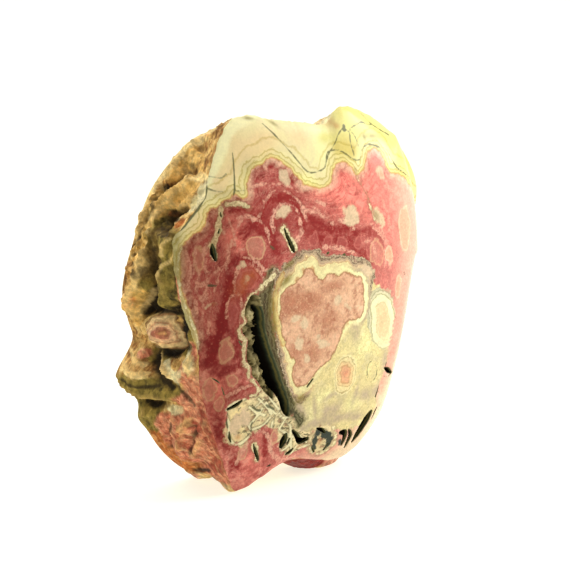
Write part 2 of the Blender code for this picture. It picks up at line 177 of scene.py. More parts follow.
CRESTS = (
    ((2.1, 41, 0.2), (1.8, 39.4, 0.4), (2.2, 37.6, 0.35), (3.1, 36, 0.4), (4.3, 34.6, 0.4),
        (5.2, 32.8, 0.3)), ((3.4, 50.2, 0.2), (3.9, 48.4, 0.3), (3.8, 46.6, 0.25)),
    ((0.2, 53.6, 0.15), (1.5, 52.2, 0.25), (2.4, 50.8, 0.25), (3.3, 49.8, 0.15)),
    ((-1.6, 52.6, 0.15), (-0.2, 51.4, 0.25), (0.8, 50, 0.2), (1.6, 49, 0.15)),
    ((2, 21.3, 0.15), (4, 21.1, 0.25), (6, 21.9, 0.25), (7.6, 23.2, 0.2)),
    ((3, 22.4, 0.15), (5.4, 23.3, 0.25), (7.2, 24.6, 0.2)),
    ((-2.2, 21.4, 0.2), (-0.6, 22.6, 0.4), (0.8, 23.4, 0.4), (1.7, 24.3, 0.2)),
    ((-2.9, 28.2, 0.3), (-2, 30.1, 0.4), (0, 30.9, 0.45), (2, 30.5, 0.4), (3.4, 29.2, 0.35),
        (3.9, 27.8, 0.3)), ((-5.7, 25, 0.2), (-5.3, 23.6, 0.35), (-5.5, 22.2, 0.25)),
    ((-3.6, 14.2, 0.15), (-1.6, 12.4, 0.25), (0.4, 10.2, 0.2), (2, 8.4, 0.15)),
    ((-3.4, 10.4, 0.15), (-1.4, 8, 0.25), (0.8, 6, 0.2)),
    ((5.2, 45, 0.15), (6.2, 43.8, 0.25), (7.2, 43.4, 0.2)),
    ((5.4, 49.6, 0.2), (5.9, 47.6, 0.25), (6, 45.8, 0.15)),
)
GROOVE_DEPTH, CREST_HEIGHT, RIM_LINE_WIDTH = 1.1, 0.5, 0.55
# Finer lines on it: narrow seams, darkened with painted shade, and ridges, lightened with painted highlight,
# as depth Y and height Z
SEAMS = (
    ((5.3, 49.2), (2.9, 48.4), (3.6, 46.5), (5.2, 44.6), (5, 43.1)),
    ((1.2, 46), (-0.4, 45.1), (-4.1, 45.1)),
    ((1.1, 42.2), (1.2, 40.2), (0.7, 38.5), (0.2, 36.6), (1.8, 33.9)), ((7, 39.9), (5, 40.6)),
    ((-5.8, 42.7), (-5.9, 40.6), (-5.4, 38.7), (-5.3, 36.1), (-4.6, 34.4)),
    ((0.5, 46.6), (0.8, 47.2), (0.1, 47.9)), ((2.7, 38.6), (1.9, 37.7), (1.6, 39)),
    ((-3.6, 40.8), (-1.6, 39.4), (0.7, 38.1)), ((-3.6, 12.6), (-1.4, 9.4), (0.6, 6.6)),
    ((1.4, 12.4), (3, 10), (4.6, 7.2)), ((6.4, 19.8), (3.6, 18.9), (0.4, 19.4)),
    ((-2.6, 19.6), (-4, 18.2), (-4.6, 16.4)),
)
RIDGES = (
    ((1.7, 48.5), (2.1, 47), (3.2, 45.5), (2.5, 44.4)),
    ((-3.2, 38.2), (-3.7, 40.1), (-5, 41.2), (-5.8, 43.5)),
    ((2.9, 43.1), (2.1, 42.2), (1.9, 39.8), (1.9, 38.2), (2.4, 36.4), (3.6, 34.9), (4.9, 32), (5.7, 29.9)),
    ((5.7, 49.2), (6.4, 46), (7.2, 42.9), (6.6, 40.3), (6.4, 37.7)),
    ((0.6, 50), (0.1, 49), (-2.4, 49.2), (-4.1, 50.4)), ((3.9, 32.3), (2.5, 33.5), (1.1, 35.4)),
    ((4.9, 30.2), (4.1, 32), (3.5, 32.5)), ((4.9, 40.9), (3.2, 40.4), (2.6, 39.5)),
    ((-4, 41.8), (-4.2, 43.9), (-4.9, 44.7)),
    ((3.3, 46.2), (1.8, 48.7), (0, 50.6), (-2.1, 52.8), (-2.6, 54.2)),
    ((5.1, 53.3), (4.7, 55.7), (4.7, 58), (1.5, 59.4), (-0.5, 60)), ((0.2, 14.2), (-1.8, 11.4), (-3.6, 8)),
    ((2.8, 10.8), (1.4, 8.6), (-0.4, 5.8)), ((5.6, 7.8), (4, 5.4), (2.4, 4.2)),
)
SEAM_DEPTH, RIDGE_HEIGHT, SEAM_WIDTH = 0.35, 0.3, 0.38
FRONT_FADE, BACK_FADE = 0.14, 0.18
FINE_FADE = 0.05
RIM_BELLY = 0.5
EDGE_WANDER, EDGE_WANDER_SIZE = 0.22, 1.7
EDGE_BLEND = 8  # the face takes on the edge's wanderings only close to it
SAW_RIPPLE, SAW_SPACING = 0.012, 3.3
SAW_SLANT, SAW_ARC = 0.25, 0.004  # the blade's marks lean and curve
SAW_EDGE = 12.0

# ---------------------------------------------------------------- openings in the face
# The long cavity: X, Z and half width of its mouth, from its upper end to its lower one
CAVITY = (
    (-9.1, 33.2, 0.4), (-8.8, 31.8, 0.8), (-8.6, 30, 1.1), (-8.6, 28, 1.25), (-8.15, 26, 1.4),
    (-7.45, 24, 1.4), (-6.55, 22, 1.4), (-5.8, 20, 1.5), (-4.8, 18, 1.3), (-3.65, 16, 1.1),
    (-2.85, 14, 1.05), (-2.3, 12.7, 0.5),
)
CAVITY_DEPTH, CAVITY_RUN = 5.4, 0.9
# The ledge on the cavity's left, and the rounded lumps on it: X, Z, radius
LEDGE = (
    (-10.2, 34.2), (-11.5, 32.6), (-11.8, 31), (-11.3, 29.9), (-12.3, 28.9), (-12.1, 27.9), (-11.2, 26.8),
    (-11.4, 25), (-11.3, 23.2), (-10.4, 22), (-10.3, 20.7), (-9.2, 19.6), (-8.4, 18.4), (-7.2, 17),
    (-5.6, 16), (-6, 20), (-8, 24), (-8.6, 28), (-8.4, 33),
)
LEDGE_DEPTH, LEDGE_RUN = 1.5, 0.35
LUMPS = (
    (-10.4, 30.8, 1.3), (-11.3, 28.5, 0.9), (-10.3, 27.2, 0.95), (-10.8, 25.3, 0.75), (-9.5, 23.1, 1.1),
    (-10.4, 21.9, 0.6), (-8.9, 20.7, 1.4), (-7.6, 18.8, 0.9), (-9, 32.8, 0.8), (-6.9, 17.4, 0.7),
    (-10, 24.3, 0.6), (-9.7, 29.2, 0.7), (-9.8, 19.6, 0.5), (-9.5, 26, 0.6), (-8.3, 22.4, 0.5),
)
# The smaller openings: depth, then X, Z and half width along each
SLOTS = (
    (2.6, ((-17.6, 43.2, 0.25), (-17.5, 42, 0.6), (-17.1, 40.8, 0.35))),
    (2.2, ((-3.5, 44.3, 0.15), (-2.7, 42.6, 0.35), (-1.9, 41, 0.42), (-1.5, 40.2, 0.25))),
    (0.8, ((-15.8, 48.2, 0.12), (-15.7, 47.6, 0.2))), (0.8, ((-16.2, 45.6, 0.12), (-16.4, 45, 0.2))),
    (1.5, ((-14.8, 15.6, 0.25), (-13.2, 16.1, 0.36), (-12.1, 16.7, 0.2))),
    (1.2, ((-14.2, 11.6, 0.15), (-14, 10.6, 0.28), (-13.7, 9.8, 0.15))),
    (1.8, ((-9.1, 8.6, 0.15), (-8.6, 7.4, 0.33), (-8, 6.2, 0.33), (-7.7, 5.5, 0.15))),
    (2.2, ((-3.1, 7.3, 0.55), (-2.8, 8.2, 0.8), (-2.5, 9, 0.5))),
    (1.6, ((-1.9, 7.4, 0.2), (-1.6, 8.2, 0.25))),
    (2, ((-1, 9.6, 0.3), (-0.1, 8.6, 0.5), (0.9, 7.4, 0.6), (2.5, 7.5, 0.4))),
    (1.2, ((-1.8, 5.4, 0.2), (-0.9, 5.8, 0.4), (-0.4, 6.2, 0.2))),
    (0.6, ((-5.6, 4, 0.12), (-5, 4.1, 0.22))), (1.4, ((4.4, 9, 0.2), (5.6, 8.5, 0.42), (6.3, 7.9, 0.2))),
    (0.9, ((4.1, 5.6, 0.18), (4.8, 4.6, 0.22))), (0.9, ((7.5, 5.8, 0.18), (7, 4.6, 0.25))),
    (1.6, ((10, 7.2, 0.4), (11, 7, 0.6), (11.1, 5.8, 0.45), (10.9, 4.7, 0.2))),
    (1.6, ((11.9, 7.4, 0.2), (12.5, 6.4, 0.5), (12.2, 5, 0.4), (12, 4, 0.2))),
    (2.6, ((13.6, 4.8, 0.3), (14.4, 6, 0.7), (15.3, 7.3, 0.85), (16.3, 8.6, 0.8), (17.1, 9.6, 0.4))),
    (1, ((17.7, 8.2, 0.12), (18.2, 9.4, 0.2), (18.6, 10.2, 0.12))),
    (1.4, ((19.8, 17, 0.2), (20.8, 16.4, 0.5), (21.8, 15.8, 0.3))),
    (0.7, ((18.5, 13.9, 0.1), (17.9, 12.2, 0.18))), (0.5, ((5.6, 39.4, 0.1), (5.6, 38.9, 0.2))),
    (0.5, ((9, 38.4, 0.12), (9.5, 38.3, 0.2))), (0.6, ((1.5, 16.9, 0.2), (2.6, 18, 0.2))),
    (0.5, ((-17.9, 21.3, 0.1), (-17.1, 20.8, 0.17), (-16.5, 20.3, 0.1))),
    (0.5, ((-16.1, 19.6, 0.1), (-15.6, 18.2, 0.15))), (0.4, ((-12.9, 26.8, 0.12), (-12.4, 26.1, 0.15))),
)
SLOT_RUN = 0.3
DARK_DEPTH = 4.5  # an opening's painted shade is black from this deep on, and a slot is painted so whatever its depth
LUMP_BEND, LUMP_BEND_SIZE = 0.6, 0.8
LUMP_HEIGHT, LUMP_TOP, LUMP_FLOOR = 0.95, 0.15, 0.05  # how round lumps are, how near the face, where
HOLE_BARE = 0.8  # lumps stop where the hole is this deep
WALL_BUMP, WALL_BUMP_SIZE, WALL_BUMP_DEPTH = 0.35, 0.8, 1.2
NOISE_SHIFT = (40.0, 0.0, 0.0)  # gives a second noise that differs from the first

# ---------------------------------------------------------------- growth bands on the face
# Closed outlines, as X and Z. Distances to them are kept on the mesh, negative inside.
AREAS = {
    "pink": (
        (-23.1, 43), (-21.6, 44.6), (-20, 45.4), (-19, 46.2), (-18.4, 47.6), (-17.6, 48.8), (-16.5, 49.1),
        (-15.2, 49.8), (-13.8, 50.3), (-12.9, 50.8), (-12, 50.3), (-11, 50), (-10.4, 50.6), (-10.3, 52.2),
        (-9.6, 54), (-8.4, 54.9), (-7, 55), (-6.2, 55.5), (-5, 55.9), (-4, 55.6), (-2.8, 54.9),
        (-1.8, 54.3), (-0.9, 53.2), (0.3, 51.9), (1.2, 50.9), (2.5, 50.5), (4.5, 50), (6.5, 50.4),
        (7.4, 51), (7.8, 52.5), (8.8, 53.8), (10.3, 53.6), (11.8, 52.7), (13, 51.4), (14, 51.5), (15, 52.2),
        (15.7, 53.5), (16.6, 54.7), (18, 55), (19.4, 54.4), (20.3, 53), (21, 51.2), (22.5, 50.4), (24, 50),
        (26, 49.2), (28, 47.6), (30.5, 45.4), (34, 42.8), (40, 38), (40, -6), (-24, -6), (-24.6, 4),
        (-24.8, 12), (-24.4, 20), (-22.6, 24.6), (-20.6, 27.4), (-20.6, 29.2), (-21.2, 31.2), (-21.9, 33.2),
        (-22.7, 35.2), (-23.1, 37.4), (-23.2, 40.4),
    ),
    "nodule": (
        (-6.3, 33), (-5.8, 35), (-5.7, 36.5), (-5.9, 37.9), (-5.3, 38), (-4.7, 37.7), (-4, 38.5),
        (-2.5, 39), (-1.5, 39.8), (0, 40.2), (3, 40.1), (4.2, 39.3), (6, 38.6), (9.3, 38.2), (12, 37.7),
        (14.3, 36.7), (15.8, 35.3), (16.6, 34.2), (16.3, 33), (15.8, 32), (15.7, 30.5), (15.2, 28.5),
        (14.4, 26.7), (13, 25.4), (11.9, 24), (10.4, 22.8), (8.8, 20.6), (7.2, 18.4), (5.8, 17),
        (3.6, 15.6), (1.8, 15), (0.4, 14.2), (-0.8, 14.6), (-1.8, 16.2), (-3, 18.4), (-4, 21), (-5, 24.4),
        (-5.8, 28), (-6.3, 31),
    ),
    "core": (
        (-4.5, 31), (-4.3, 33.3), (-3.3, 34.3), (-1, 35.3), (0, 35.9), (0.9, 36.9), (2.2, 36.8),
        (3.3, 35.3), (4.5, 34.9), (5.5, 35.6), (7, 35.5), (8, 34.8), (9.4, 35.1), (11, 34.7), (12.5, 34.3),
        (13.7, 33), (14, 31), (13.9, 29), (13.3, 27.3), (12, 26.9), (10.5, 27.1), (9.5, 26), (8.8, 24.5),
        (8, 23), (7, 21.5), (6, 20.5), (4.2, 19.8), (3, 18.7), (1.5, 17.3), (0.3, 17.1), (-0.9, 17.6),
        (-1.7, 18.8), (-1.8, 20.3), (-1.3, 21.8), (-2.6, 23.2), (-3.5, 25.5), (-4.4, 28),
    ),
    "lower": (
        (-1.4, 10.6), (-2, 13), (-2.9, 16), (-3.6, 19.6), (-1, 22), (4, 24), (10, 28), (12.6, 31),
        (14, 33.6), (15.6, 33.4), (17, 32.2), (18.6, 31.4), (20.4, 30.4), (21.6, 28.8), (22, 26.6),
        (21.8, 24), (21.1, 21.4), (20.6, 19), (20, 16.8), (18.9, 14.6), (18.4, 12), (18, 9.4), (16.4, 8),
        (13.8, 7.4), (11, 7.4), (8.6, 8), (6, 8.6), (3.4, 8.6), (1.4, 8.2), (0, 8.8),
    ),
    "ring": (
        (15.9, 26.6), (15.7, 28.4), (16.6, 29.8), (18.4, 30.3), (20, 29.6), (21.2, 28.2), (22, 25.6),
        (22, 23.6), (21.7, 21.9), (20.6, 20.6), (19, 20.6), (17.7, 21.4), (16.3, 22.9), (15.9, 24.6),
    ),
    "box": (
        (-15.4, 15.4), (-14.8, 16.8), (-13, 17.2), (-11, 17.4), (-9.4, 17.4), (-8.6, 18.4), (-7.4, 18.4),
        (-5.4, 17.6), (-3.8, 15.8), (-2.6, 13.6), (-1.6, 12.8), (-0.6, 12.4), (0, 10.6), (1, 9.5), (3, 9),
        (5.2, 9.6), (7.4, 9), (9, 7.4), (9, 5.2), (7.6, 3.9), (5.4, 3.9), (3.6, 5.2), (2.2, 5.9),
        (0.6, 5.4), (-1.2, 4.9), (-2.6, 5.9), (-3.9, 7.2), (-4.3, 9), (-5, 10.6), (-6.6, 11.4),
        (-8.4, 10.9), (-9.6, 10.4), (-10.6, 9.2), (-12.2, 8.8), (-13.8, 9.2), (-14.8, 10), (-15.1, 12),
        (-15, 13.8),
    ),
}
# Growths cut across, as X, Z, half width, half height, and the turn in degrees where there is one
BLOBS = {
    "chalk": (
        (-2.8, 52.6, 0.75, 1.25, 20), (-3.8, 46.9, 1.1, 0.8, 20), (-2.6, 47.3, 0.6, 0.4),
        (11.2, 44.5, 1.4, 1.8, 28), (18.3, 51.2, 0.25, 0.5, 10), (17.9, 43.5, 1, 1.6, 40),
        (-12.1, 39.3, 0.5, 0.35), (-11.3, 36.8, 0.45, 0.4), (0.6, 28, 0.7, 0.8, 10),
        (-1.2, 29, 0.9, 0.5, 20), (-0.5, 24.6, 0.8, 1.1, 10), (5, 23.6, 1, 0.7), (1.1, 21.8, 0.9, 0.7, -40),
        (8.1, 30.7, 0.8, 0.6, 10), (6.2, 23.3, 0.6, 0.5), (4, 24.2, 0.8, 0.3, -30), (-0.8, 24.6, 0.7, 0.7),
        (3.4, 25.2, 0.5, 0.3), (9.8, 29.5, 0.5, 0.3, -40), (-18.4, 33.4, 0.8, 0.35, 20),
        (-13, 12.6, 1, 1.9, -12), (-11.4, 13.6, 1, 1.6, 15), (14.7, 35, 1.6, 0.6, -25),
    ),
    "beads": (
        (2.7, 41.8, 1.1, 1.2), (5.7, 41, 1, 1.1), (9, 40.3, 1.2, 1.2), (12.7, 39.8, 1.1, 1.2),
        (15.6, 38.6, 1.2, 1.6), (-0.4, 42.6, 0.9, 1), (-11, 36.8, 1.9, 1.7), (-14.1, 31.8, 0.9, 2.4),
    ),
    "pale": (
        (25.2, 40.6, 2, 4), (20.4, 36.8, 0.9, 1.6, 20), (19.2, 50.6, 0.7, 1.2, 20), (23, 30.6, 0.9, 2.2),
    ),
    "blush": (
        (-9.3, 41.9, 1.9, 2.2, 35), (-15.5, 25.4, 1.4, 2), (-14.2, 20.6, 1.2, 1.1),
        (10, 17.6, 1.8, 2.3, -8), (-16.4, 16.8, 1, 1.2), (-11.2, 7.4, 1, 1.2), (-4.8, 9.2, 0.9, 1.5),
        (17.2, 37.6, 1.6, 2.6, 20), (-20.2, 41.2, 1, 2.4), (-18.2, 19.4, 1.4, 1.9),
    ),
}
# Lines and bands along paths: half width, then X and Z
PATHS = {
    "deep": (
        (0.9, ((-11.5, 44.4), (-9.8, 45.4), (-8.2, 46.8), (-6.4, 48.8), (-4.2, 49.6), (-1.8, 48.9),
            (-0.2, 47), (0.6, 44.6))),
        (0.8, ((0.6, 46), (3, 44.4), (5.6, 43.2), (8.2, 43.1), (10.2, 42.4), (12.6, 41.4), (14.8, 41.8),
            (16.8, 41), (18, 39.4), (18.4, 37.4))),
        (0.9, ((2.4, 42.4), (5.4, 41.4), (8.6, 40.8), (11.4, 39.8), (13.6, 38.2), (15.6, 36.6))),
        (1.1, ((-8.6, 44.6), (-6.6, 43.8), (-5.6, 42), (-5, 40.4))),
        (0.5, ((-9.4, 54), (-6.4, 54.9), (-4.2, 54.8), (-2.2, 53.6), (-0.4, 51.6), (1.4, 50))),
        (0.35, ((-18.2, 48), (-17.2, 48.8), (-15.2, 49.4), (-13.2, 50.4), (-11.6, 49.9))),
        (0.5, ((-18.3, 47.6), (-18.7, 46), (-19.8, 44.8), (-21.2, 44), (-22.2, 42.6))),
        (0.5, ((-13.4, 48.2), (-11.8, 48.6), (-10.4, 47.6), (-8.4, 47))),
        (0.7, ((-14.9, 40.2), (-12.4, 40.5), (-9.8, 39.4), (-8.2, 37.6))),
        (0.7, ((-19.5, 24.2), (-17, 23), (-14, 22.6), (-12, 23.6))),
        (0.5, ((-18.6, 27.6), (-18.4, 24), (-16.8, 21.6))),
        (0.6, ((-16.8, 14.6), (-15.8, 12), (-14.4, 9.4), (-13.2, 7.2), (-12.4, 5.4))),
        (0.45, ((-7, 10), (-6.6, 7.8), (-6.5, 5.2))), (0.5, ((-13.9, 18), (-11.8, 18.6), (-10.4, 18.7))),
        (0.8, ((-13.4, 30.6), (-13, 27.6), (-12.8, 24.8))), (0.5, ((-6.4, 2.4), (-5.4, 3.2), (-4.4, 4.6))),
        (0.5, ((-9.2, 37.2), (-10.6, 35.8), (-12, 34))),
    ),
    "dusk": (
        (1, ((-14.5, 37.1), (-14.9, 34.5), (-15.8, 31.8), (-16.4, 29.1), (-17.4, 26.7), (-17.8, 24.6))),
        (0.5, ((-22.4, 35.6), (-21.8, 34.2), (-21, 32.4))),
    ),
    "cream": (
        (0.34, ((-5.7, 36.9), (-7.2, 36), (-9, 34.9), (-10.4, 34.1), (-11.6, 32.6), (-12.1, 31),
            (-11.8, 29.9), (-12.8, 29), (-12.7, 27.8), (-11.8, 26.7), (-12, 25), (-11.8, 23.1),
            (-10.9, 21.9), (-10.9, 20.6), (-9.7, 19.3), (-8.9, 18.3), (-9.3, 17.4), (-11, 17.2))),
        (0.72, ((-3.6, 44.2), (-2.7, 42.6), (-1.7, 40.6))), (0.5, ((-9.1, 8.6), (-8.6, 7.4), (-7.9, 5.7))),
        (0.55, ((-15.6, 48.8), (-16.2, 46.6), (-16.6, 44.6), (-17.2, 43.6))),
        (0.62, ((-17.6, 43), (-17.5, 42), (-17.2, 41.2))),
        (0.14, ((-22.9, 43.4), (-23.7, 41), (-23.8, 38), (-23.3, 35.4), (-22.4, 33), (-21.4, 30.6),
            (-20.6, 28.4), (-20.4, 26.4))),
        (0.35, ((-14.6, 49.2), (-13, 49.4), (-11.4, 49), (-10.4, 48.6))),
        (0.12, ((12.8, 52.2), (13.2, 50.8), (14, 49.4), (15.2, 47.4), (15.9, 45.4), (16.8, 43.4))),
        (0.2, ((-21.9, 25.6), (-21.2, 23.6), (-20.6, 21.6))),
        (0.3, ((3.4, 8.6), (3.3, 6.4), (4.4, 4.6), (6.2, 3.8), (8.2, 4.6), (9, 6.6), (8.2, 8.6))),
    ),
    "rosy": (
        (0.2, ((3.2, 46.8), (5, 45.7), (7, 44.3), (9.2, 44.2))),
        (0.18, ((20, 48.6), (21.3, 47.7), (22.7, 46.9), (24, 46.6), (23.4, 45.5), (21.6, 45.2))),
        (0.2, ((18.6, 47.6), (19.4, 45.4), (20.4, 43.4), (20.4, 41))),
        (0.2, ((-12.7, 47), (-11, 47.1), (-9.4, 46.4), (-8, 47.4), (-6.8, 49.4), (-4.6, 50.6), (-2, 49.9),
            (0.1, 47.9), (1.4, 45))),
        (0.16, ((-11.8, 40.5), (-10.2, 40.1), (-8.9, 39.1), (-7.9, 38.2), (-6.7, 37.8))),
        (0.22, ((13, 39.6), (14.2, 39.9), (15.6, 39.7), (16.6, 38.4), (17, 36.6))),
        (0.2, ((16.4, 42), (18.2, 40.8), (19.2, 39), (19.6, 36.8), (19.2, 34.6))),
        (0.16, ((-9.6, 51.6), (-7, 52), (-4.2, 51.6), (-1.8, 50.9), (0.6, 49.4), (3, 48.2), (5.4, 47.2))),
        (0.14, ((-22.2, 42.4), (-21.6, 39.6), (-22, 37.2), (-21.2, 35.4), (-20.6, 32.6))),
        (0.14, ((-20.6, 43.6), (-20.8, 41), (-20.2, 38.6), (-20.8, 36.2), (-19.6, 33.8), (-19.6, 31))),
        (0.13, ((-19.2, 42.8), (-19.2, 40.2), (-18.8, 37.8), (-19, 35.2), (-18.4, 32.2), (-18.6, 29))),
        (0.13, ((-15.6, 45.4), (-14.9, 42.8), (-15.2, 40.2), (-16.6, 38), (-17.4, 35.6))),
        (0.13, ((-14.4, 47), (-13.6, 44.4), (-13.2, 42.2), (-11.9, 41.8))),
        (0.2, ((-15, 17.9), (-13.2, 18.4), (-11.5, 18.9), (-10.2, 19))),
        (0.3, ((-8.6, 10.6), (-7.2, 10.4), (-6, 9.2), (-5.6, 7.4), (-4.4, 5.6), (-2.6, 4.6), (0.6, 4.6))),
        (0.2, ((5, 40.2), (7.6, 39.7), (10.2, 38.9), (12.6, 37.9))),
        (0.16, ((-12, 5.8), (-10.8, 8.6), (-9.8, 9.4))),
        (0.1, ((-15.4, 38.8), (-14, 43.5), (-12, 46.4), (-9.2, 46.6), (-7.1, 44.4), (-6.6, 42.2))),
        (0.1, ((-13.7, 35.3), (-13.5, 37.6), (-12.7, 38.8), (-11.3, 39.5), (-9, 38), (-7.6, 35.7))),
        (0.1, ((-15.3, 31.2), (-15.1, 33.4), (-13.9, 34.5), (-12.6, 34.2), (-12.4, 31.9), (-13, 28.6))),
        (0.12, ((-22.6, 36.1), (-19.8, 36.8), (-18.2, 38.1), (-15.7, 39.6))),
        (0.1, ((-21.1, 38.9), (-20.9, 41.6), (-20.4, 43.4), (-19.5, 44.1), (-18.7, 43), (-19, 40.3),
            (-18.5, 38.2))),
        (0.1, ((-5.7, 44), (-6, 45.9), (-5.1, 47.4), (-3.4, 48.4), (-0.9, 47.3), (0, 45), (0.1, 43),
            (-1.2, 41.9))),
        (0.16, ((-1.9, 48.8), (0, 48), (1.2, 46.7), (3.5, 46.1), (5.8, 44.8), (7.1, 43.7), (8.9, 44),
            (10.7, 43.4))),
        (0.12, ((10.9, 42.4), (12.8, 42.7), (15, 42.9), (17.4, 42), (18.9, 40.5), (20, 38.4),
            (18.9, 37.6))), (0.12, ((19.7, 50.2), (21.1, 47.8), (21.4, 45.7), (20.8, 44.3))),
        (0.26, ((17.8, 42.2), (18.9, 40.6), (19.7, 38.6), (20.2, 36.4), (20.4, 34.6))),
    ),
    "slate": (
        (0.9, ((-6, 37.4), (-6.5, 35.6), (-7, 33.6), (-7.2, 31.6), (-7.2, 29.4), (-6.7, 27.4), (-6.2, 25.4),
            (-5.6, 23.2), (-4.8, 20.8), (-3.9, 18.6), (-3, 16.4), (-2, 14.4), (-0.9, 12.4), (0.4, 11.2))),
        (0.7, ((-7.4, 35.6), (-8.1, 34), (-8.3, 32.2), (-8, 30.4))),
    ),
    "plates": (
        (0.22, ((-15, 15.8), (-13.7, 16.5), (-11.8, 16.9), (-10.4, 17.5), (-8.6, 18))),
        (0.2, ((-15, 15.8), (-15, 14.6), (-14.3, 12.9), (-14.2, 11), (-13.2, 9.4), (-11.6, 9.3),
            (-10.1, 10.2))), (0.17, ((-10.5, 15.3), (-9.1, 14.2), (-7.4, 13.4))),
        (0.15, ((-11.6, 14.3), (-10.7, 12.5), (-10, 11.4))),
        (0.15, ((-10.1, 12.4), (-8.8, 13.6), (-7.9, 14.7))),
        (0.17, ((-8.8, 16.5), (-6.8, 14.7), (-4.6, 12.9))),
        (0.15, ((-6.9, 17.2), (-6.1, 15.8), (-4.3, 13.9))),
        (0.15, ((-9.6, 11.3), (-7.6, 11.7), (-6.1, 12.8))),
        (0.15, ((-7.1, 15.6), (-6.6, 14.5), (-5.9, 13.3))),
        (0.15, ((-5.4, 12.7), (-5.6, 11.7), (-5.7, 10.6))),
        (0.15, ((-4.2, 12.5), (-3, 11.8), (-1.6, 10.6))), (0.17, ((-4.4, 10.8), (-3.1, 9.8), (-1.4, 8.6))),
        (0.17, ((-2.2, 8), (-1, 8.5), (0.3, 8.7))), (0.17, ((-1.6, 10.3), (-1.3, 8.2), (-0.7, 5.6))),
        (0.2, ((1, 6), (2, 6.1), (3.3, 6.3))), (0.15, ((2.5, 6.8), (1.3, 7.9), (0.3, 8.7))),
        (0.15, ((-4, 10.3), (-3.4, 11.3), (-2.7, 12.2))),
        (0.12, ((-9.3, 15.2), (-8.3, 15.8), (-7.6, 16.3))),
        (0.12, ((-4.9, 14.4), (-3.6, 12.6), (-0.9, 11.9))), (0.15, ((-3.6, 6.2), (-2.2, 6.6), (-1.2, 7.4))),
        (0.15, ((-2, 4.6), (-0.6, 5.2), (0.4, 6.6), (1.2, 6))), (0.12, ((3.4, 9.6), (2.2, 9.2), (1.2, 10))),
    ),
    "gold": (
        (0.45, ((-3.9, 36.9), (-5, 35.2), (-5.5, 33.1), (-5.6, 30.5), (-5, 28.1), (-4, 25.2))),
    ),
    "glow": (
        (0.75, ((-6.4, 62.6), (-8.4, 62.2), (-10.6, 61.4), (-12.6, 59.6), (-14.6, 57), (-16.6, 54.4),
            (-17.6, 53))),
    ),
    "green": (
        (0.08, ((-5.2, 61.3), (-3.5, 59.5), (-1.5, 57.2), (0.3, 55), (1.8, 53.3), (2.7, 52.8), (3.9, 52.7),
            (5.6, 53), (6.2, 53.5), (6.6, 54.8), (7.2, 55.7), (9, 55.8), (10.2, 55.4), (11.5, 54.6),
            (12.5, 54), (13.3, 53.7), (14.3, 53.8), (14.6, 54.7), (15.5, 55.6), (17, 55.9), (18.5, 55.5),
            (19.5, 55.1), (20.8, 54.9), (21.8, 54.1), (22.5, 53), (23.5, 51.6), (24.3, 50.9), (26, 50),
            (27.5, 49.2), (29, 48.3), (31, 46.8))),
        (0.07, ((17.5, 61.2), (18.5, 60), (19.5, 58.9), (21, 58), (22.6, 57.2), (24.4, 56.4))),
        (0.07, ((12.9, 58.7), (14, 59.1), (16.5, 59.5), (18, 59), (19.2, 58.8))),
        (0.07, ((11.6, 59.2), (10.2, 58.3), (9.2, 57.1), (8, 56), (7.2, 55.3), (6.4, 54))),
        (0.3, ((11.8, 59.4), (11.6, 58.8))), (0.05, ((11.8, 59), (12.6, 58.4), (12.9, 58.5))),
        (0.09, ((12.9, 58.5), (12.5, 56.8), (12.9, 54.6))),
        (0.09, ((13.1, 58.5), (13.9, 57.3), (14.3, 55.6))),
        (0.09, ((-12.2, 57.3), (-12.5, 54.2), (-12.8, 51.6), (-13.1, 50.6))),
        (0.1, ((-17.4, 54.1), (-16.2, 53.8), (-15, 53.6), (-14, 54.1))),
        (0.1, ((-17.6, 52.1), (-16.2, 51.6), (-15, 51.4))), (0.09, ((-12.5, 51.3), (-10.9, 51.2))),
        (0.02, ((13.5, 52.5), (13.6, 50.6), (14.3, 49), (15.4, 47.2), (15.9, 45.6), (16.5, 44.2),
            (17.2, 42.9), (18.4, 41.4))),
        (0.24, ((-17.8, 52.8), (-18.1, 51.2), (-19.5, 49.4), (-21.2, 47.7), (-22.5, 46.4), (-24.2, 45.5))),
        (0.09, ((-9.8, 12.6), (-10, 11.6), (-9.6, 10.8))),
        (0.16, ((-10, 15.3), (-9.2, 14.7), (-8.3, 14.4))),
        (0.16, ((-7.1, 15.1), (-6.2, 14.6), (-5.5, 14.2))),
        (0.12, ((-5.4, 12.6), (-5.1, 11.6), (-5.4, 11))),
        (0.12, ((-14.8, 15), (-14.9, 13.6), (-14.6, 12.4))),
        (0.04, ((15.2, 16.6), (15.4, 18.3), (16.3, 18.9), (17.3, 18.2), (17.8, 16.6), (17.2, 15.5),
            (16.2, 15.2), (15.2, 16.6))), (0.12, ((-3.4, 12), (-2.4, 11.2), (-1.6, 11.4))),
        (0.1, ((22.6, 36.1), (23.1, 35.8))), (0.1, ((24.7, 33.1), (25.1, 32.5))),
        (0.1, ((22.4, 25.6), (22.7, 25.3))), (0.14, ((-22.3, 26), (-21.5, 24.2), (-21, 22.4))),
        (0.16, ((-6.4, 41.7), (-5.8, 41.2))), (0.14, ((-18.6, 36.7), (-17.2, 36.5))),
        (0.12, ((19.6, 15.6), (20.8, 15.3), (22.4, 15.8))), (0.12, ((20.2, 17.9), (20, 17.2))),
    ),
    "sulfide": (
        (0.7, ((4.6, 8.3), (4.2, 7), (4.5, 5.6))), (0.8, ((6.2, 7.6), (7.4, 6.9))),
        (0.5, ((7.9, 6.6), (7.3, 5.4))), (0.3, ((10.1, 5.8), (10.5, 5))),
    ),
}
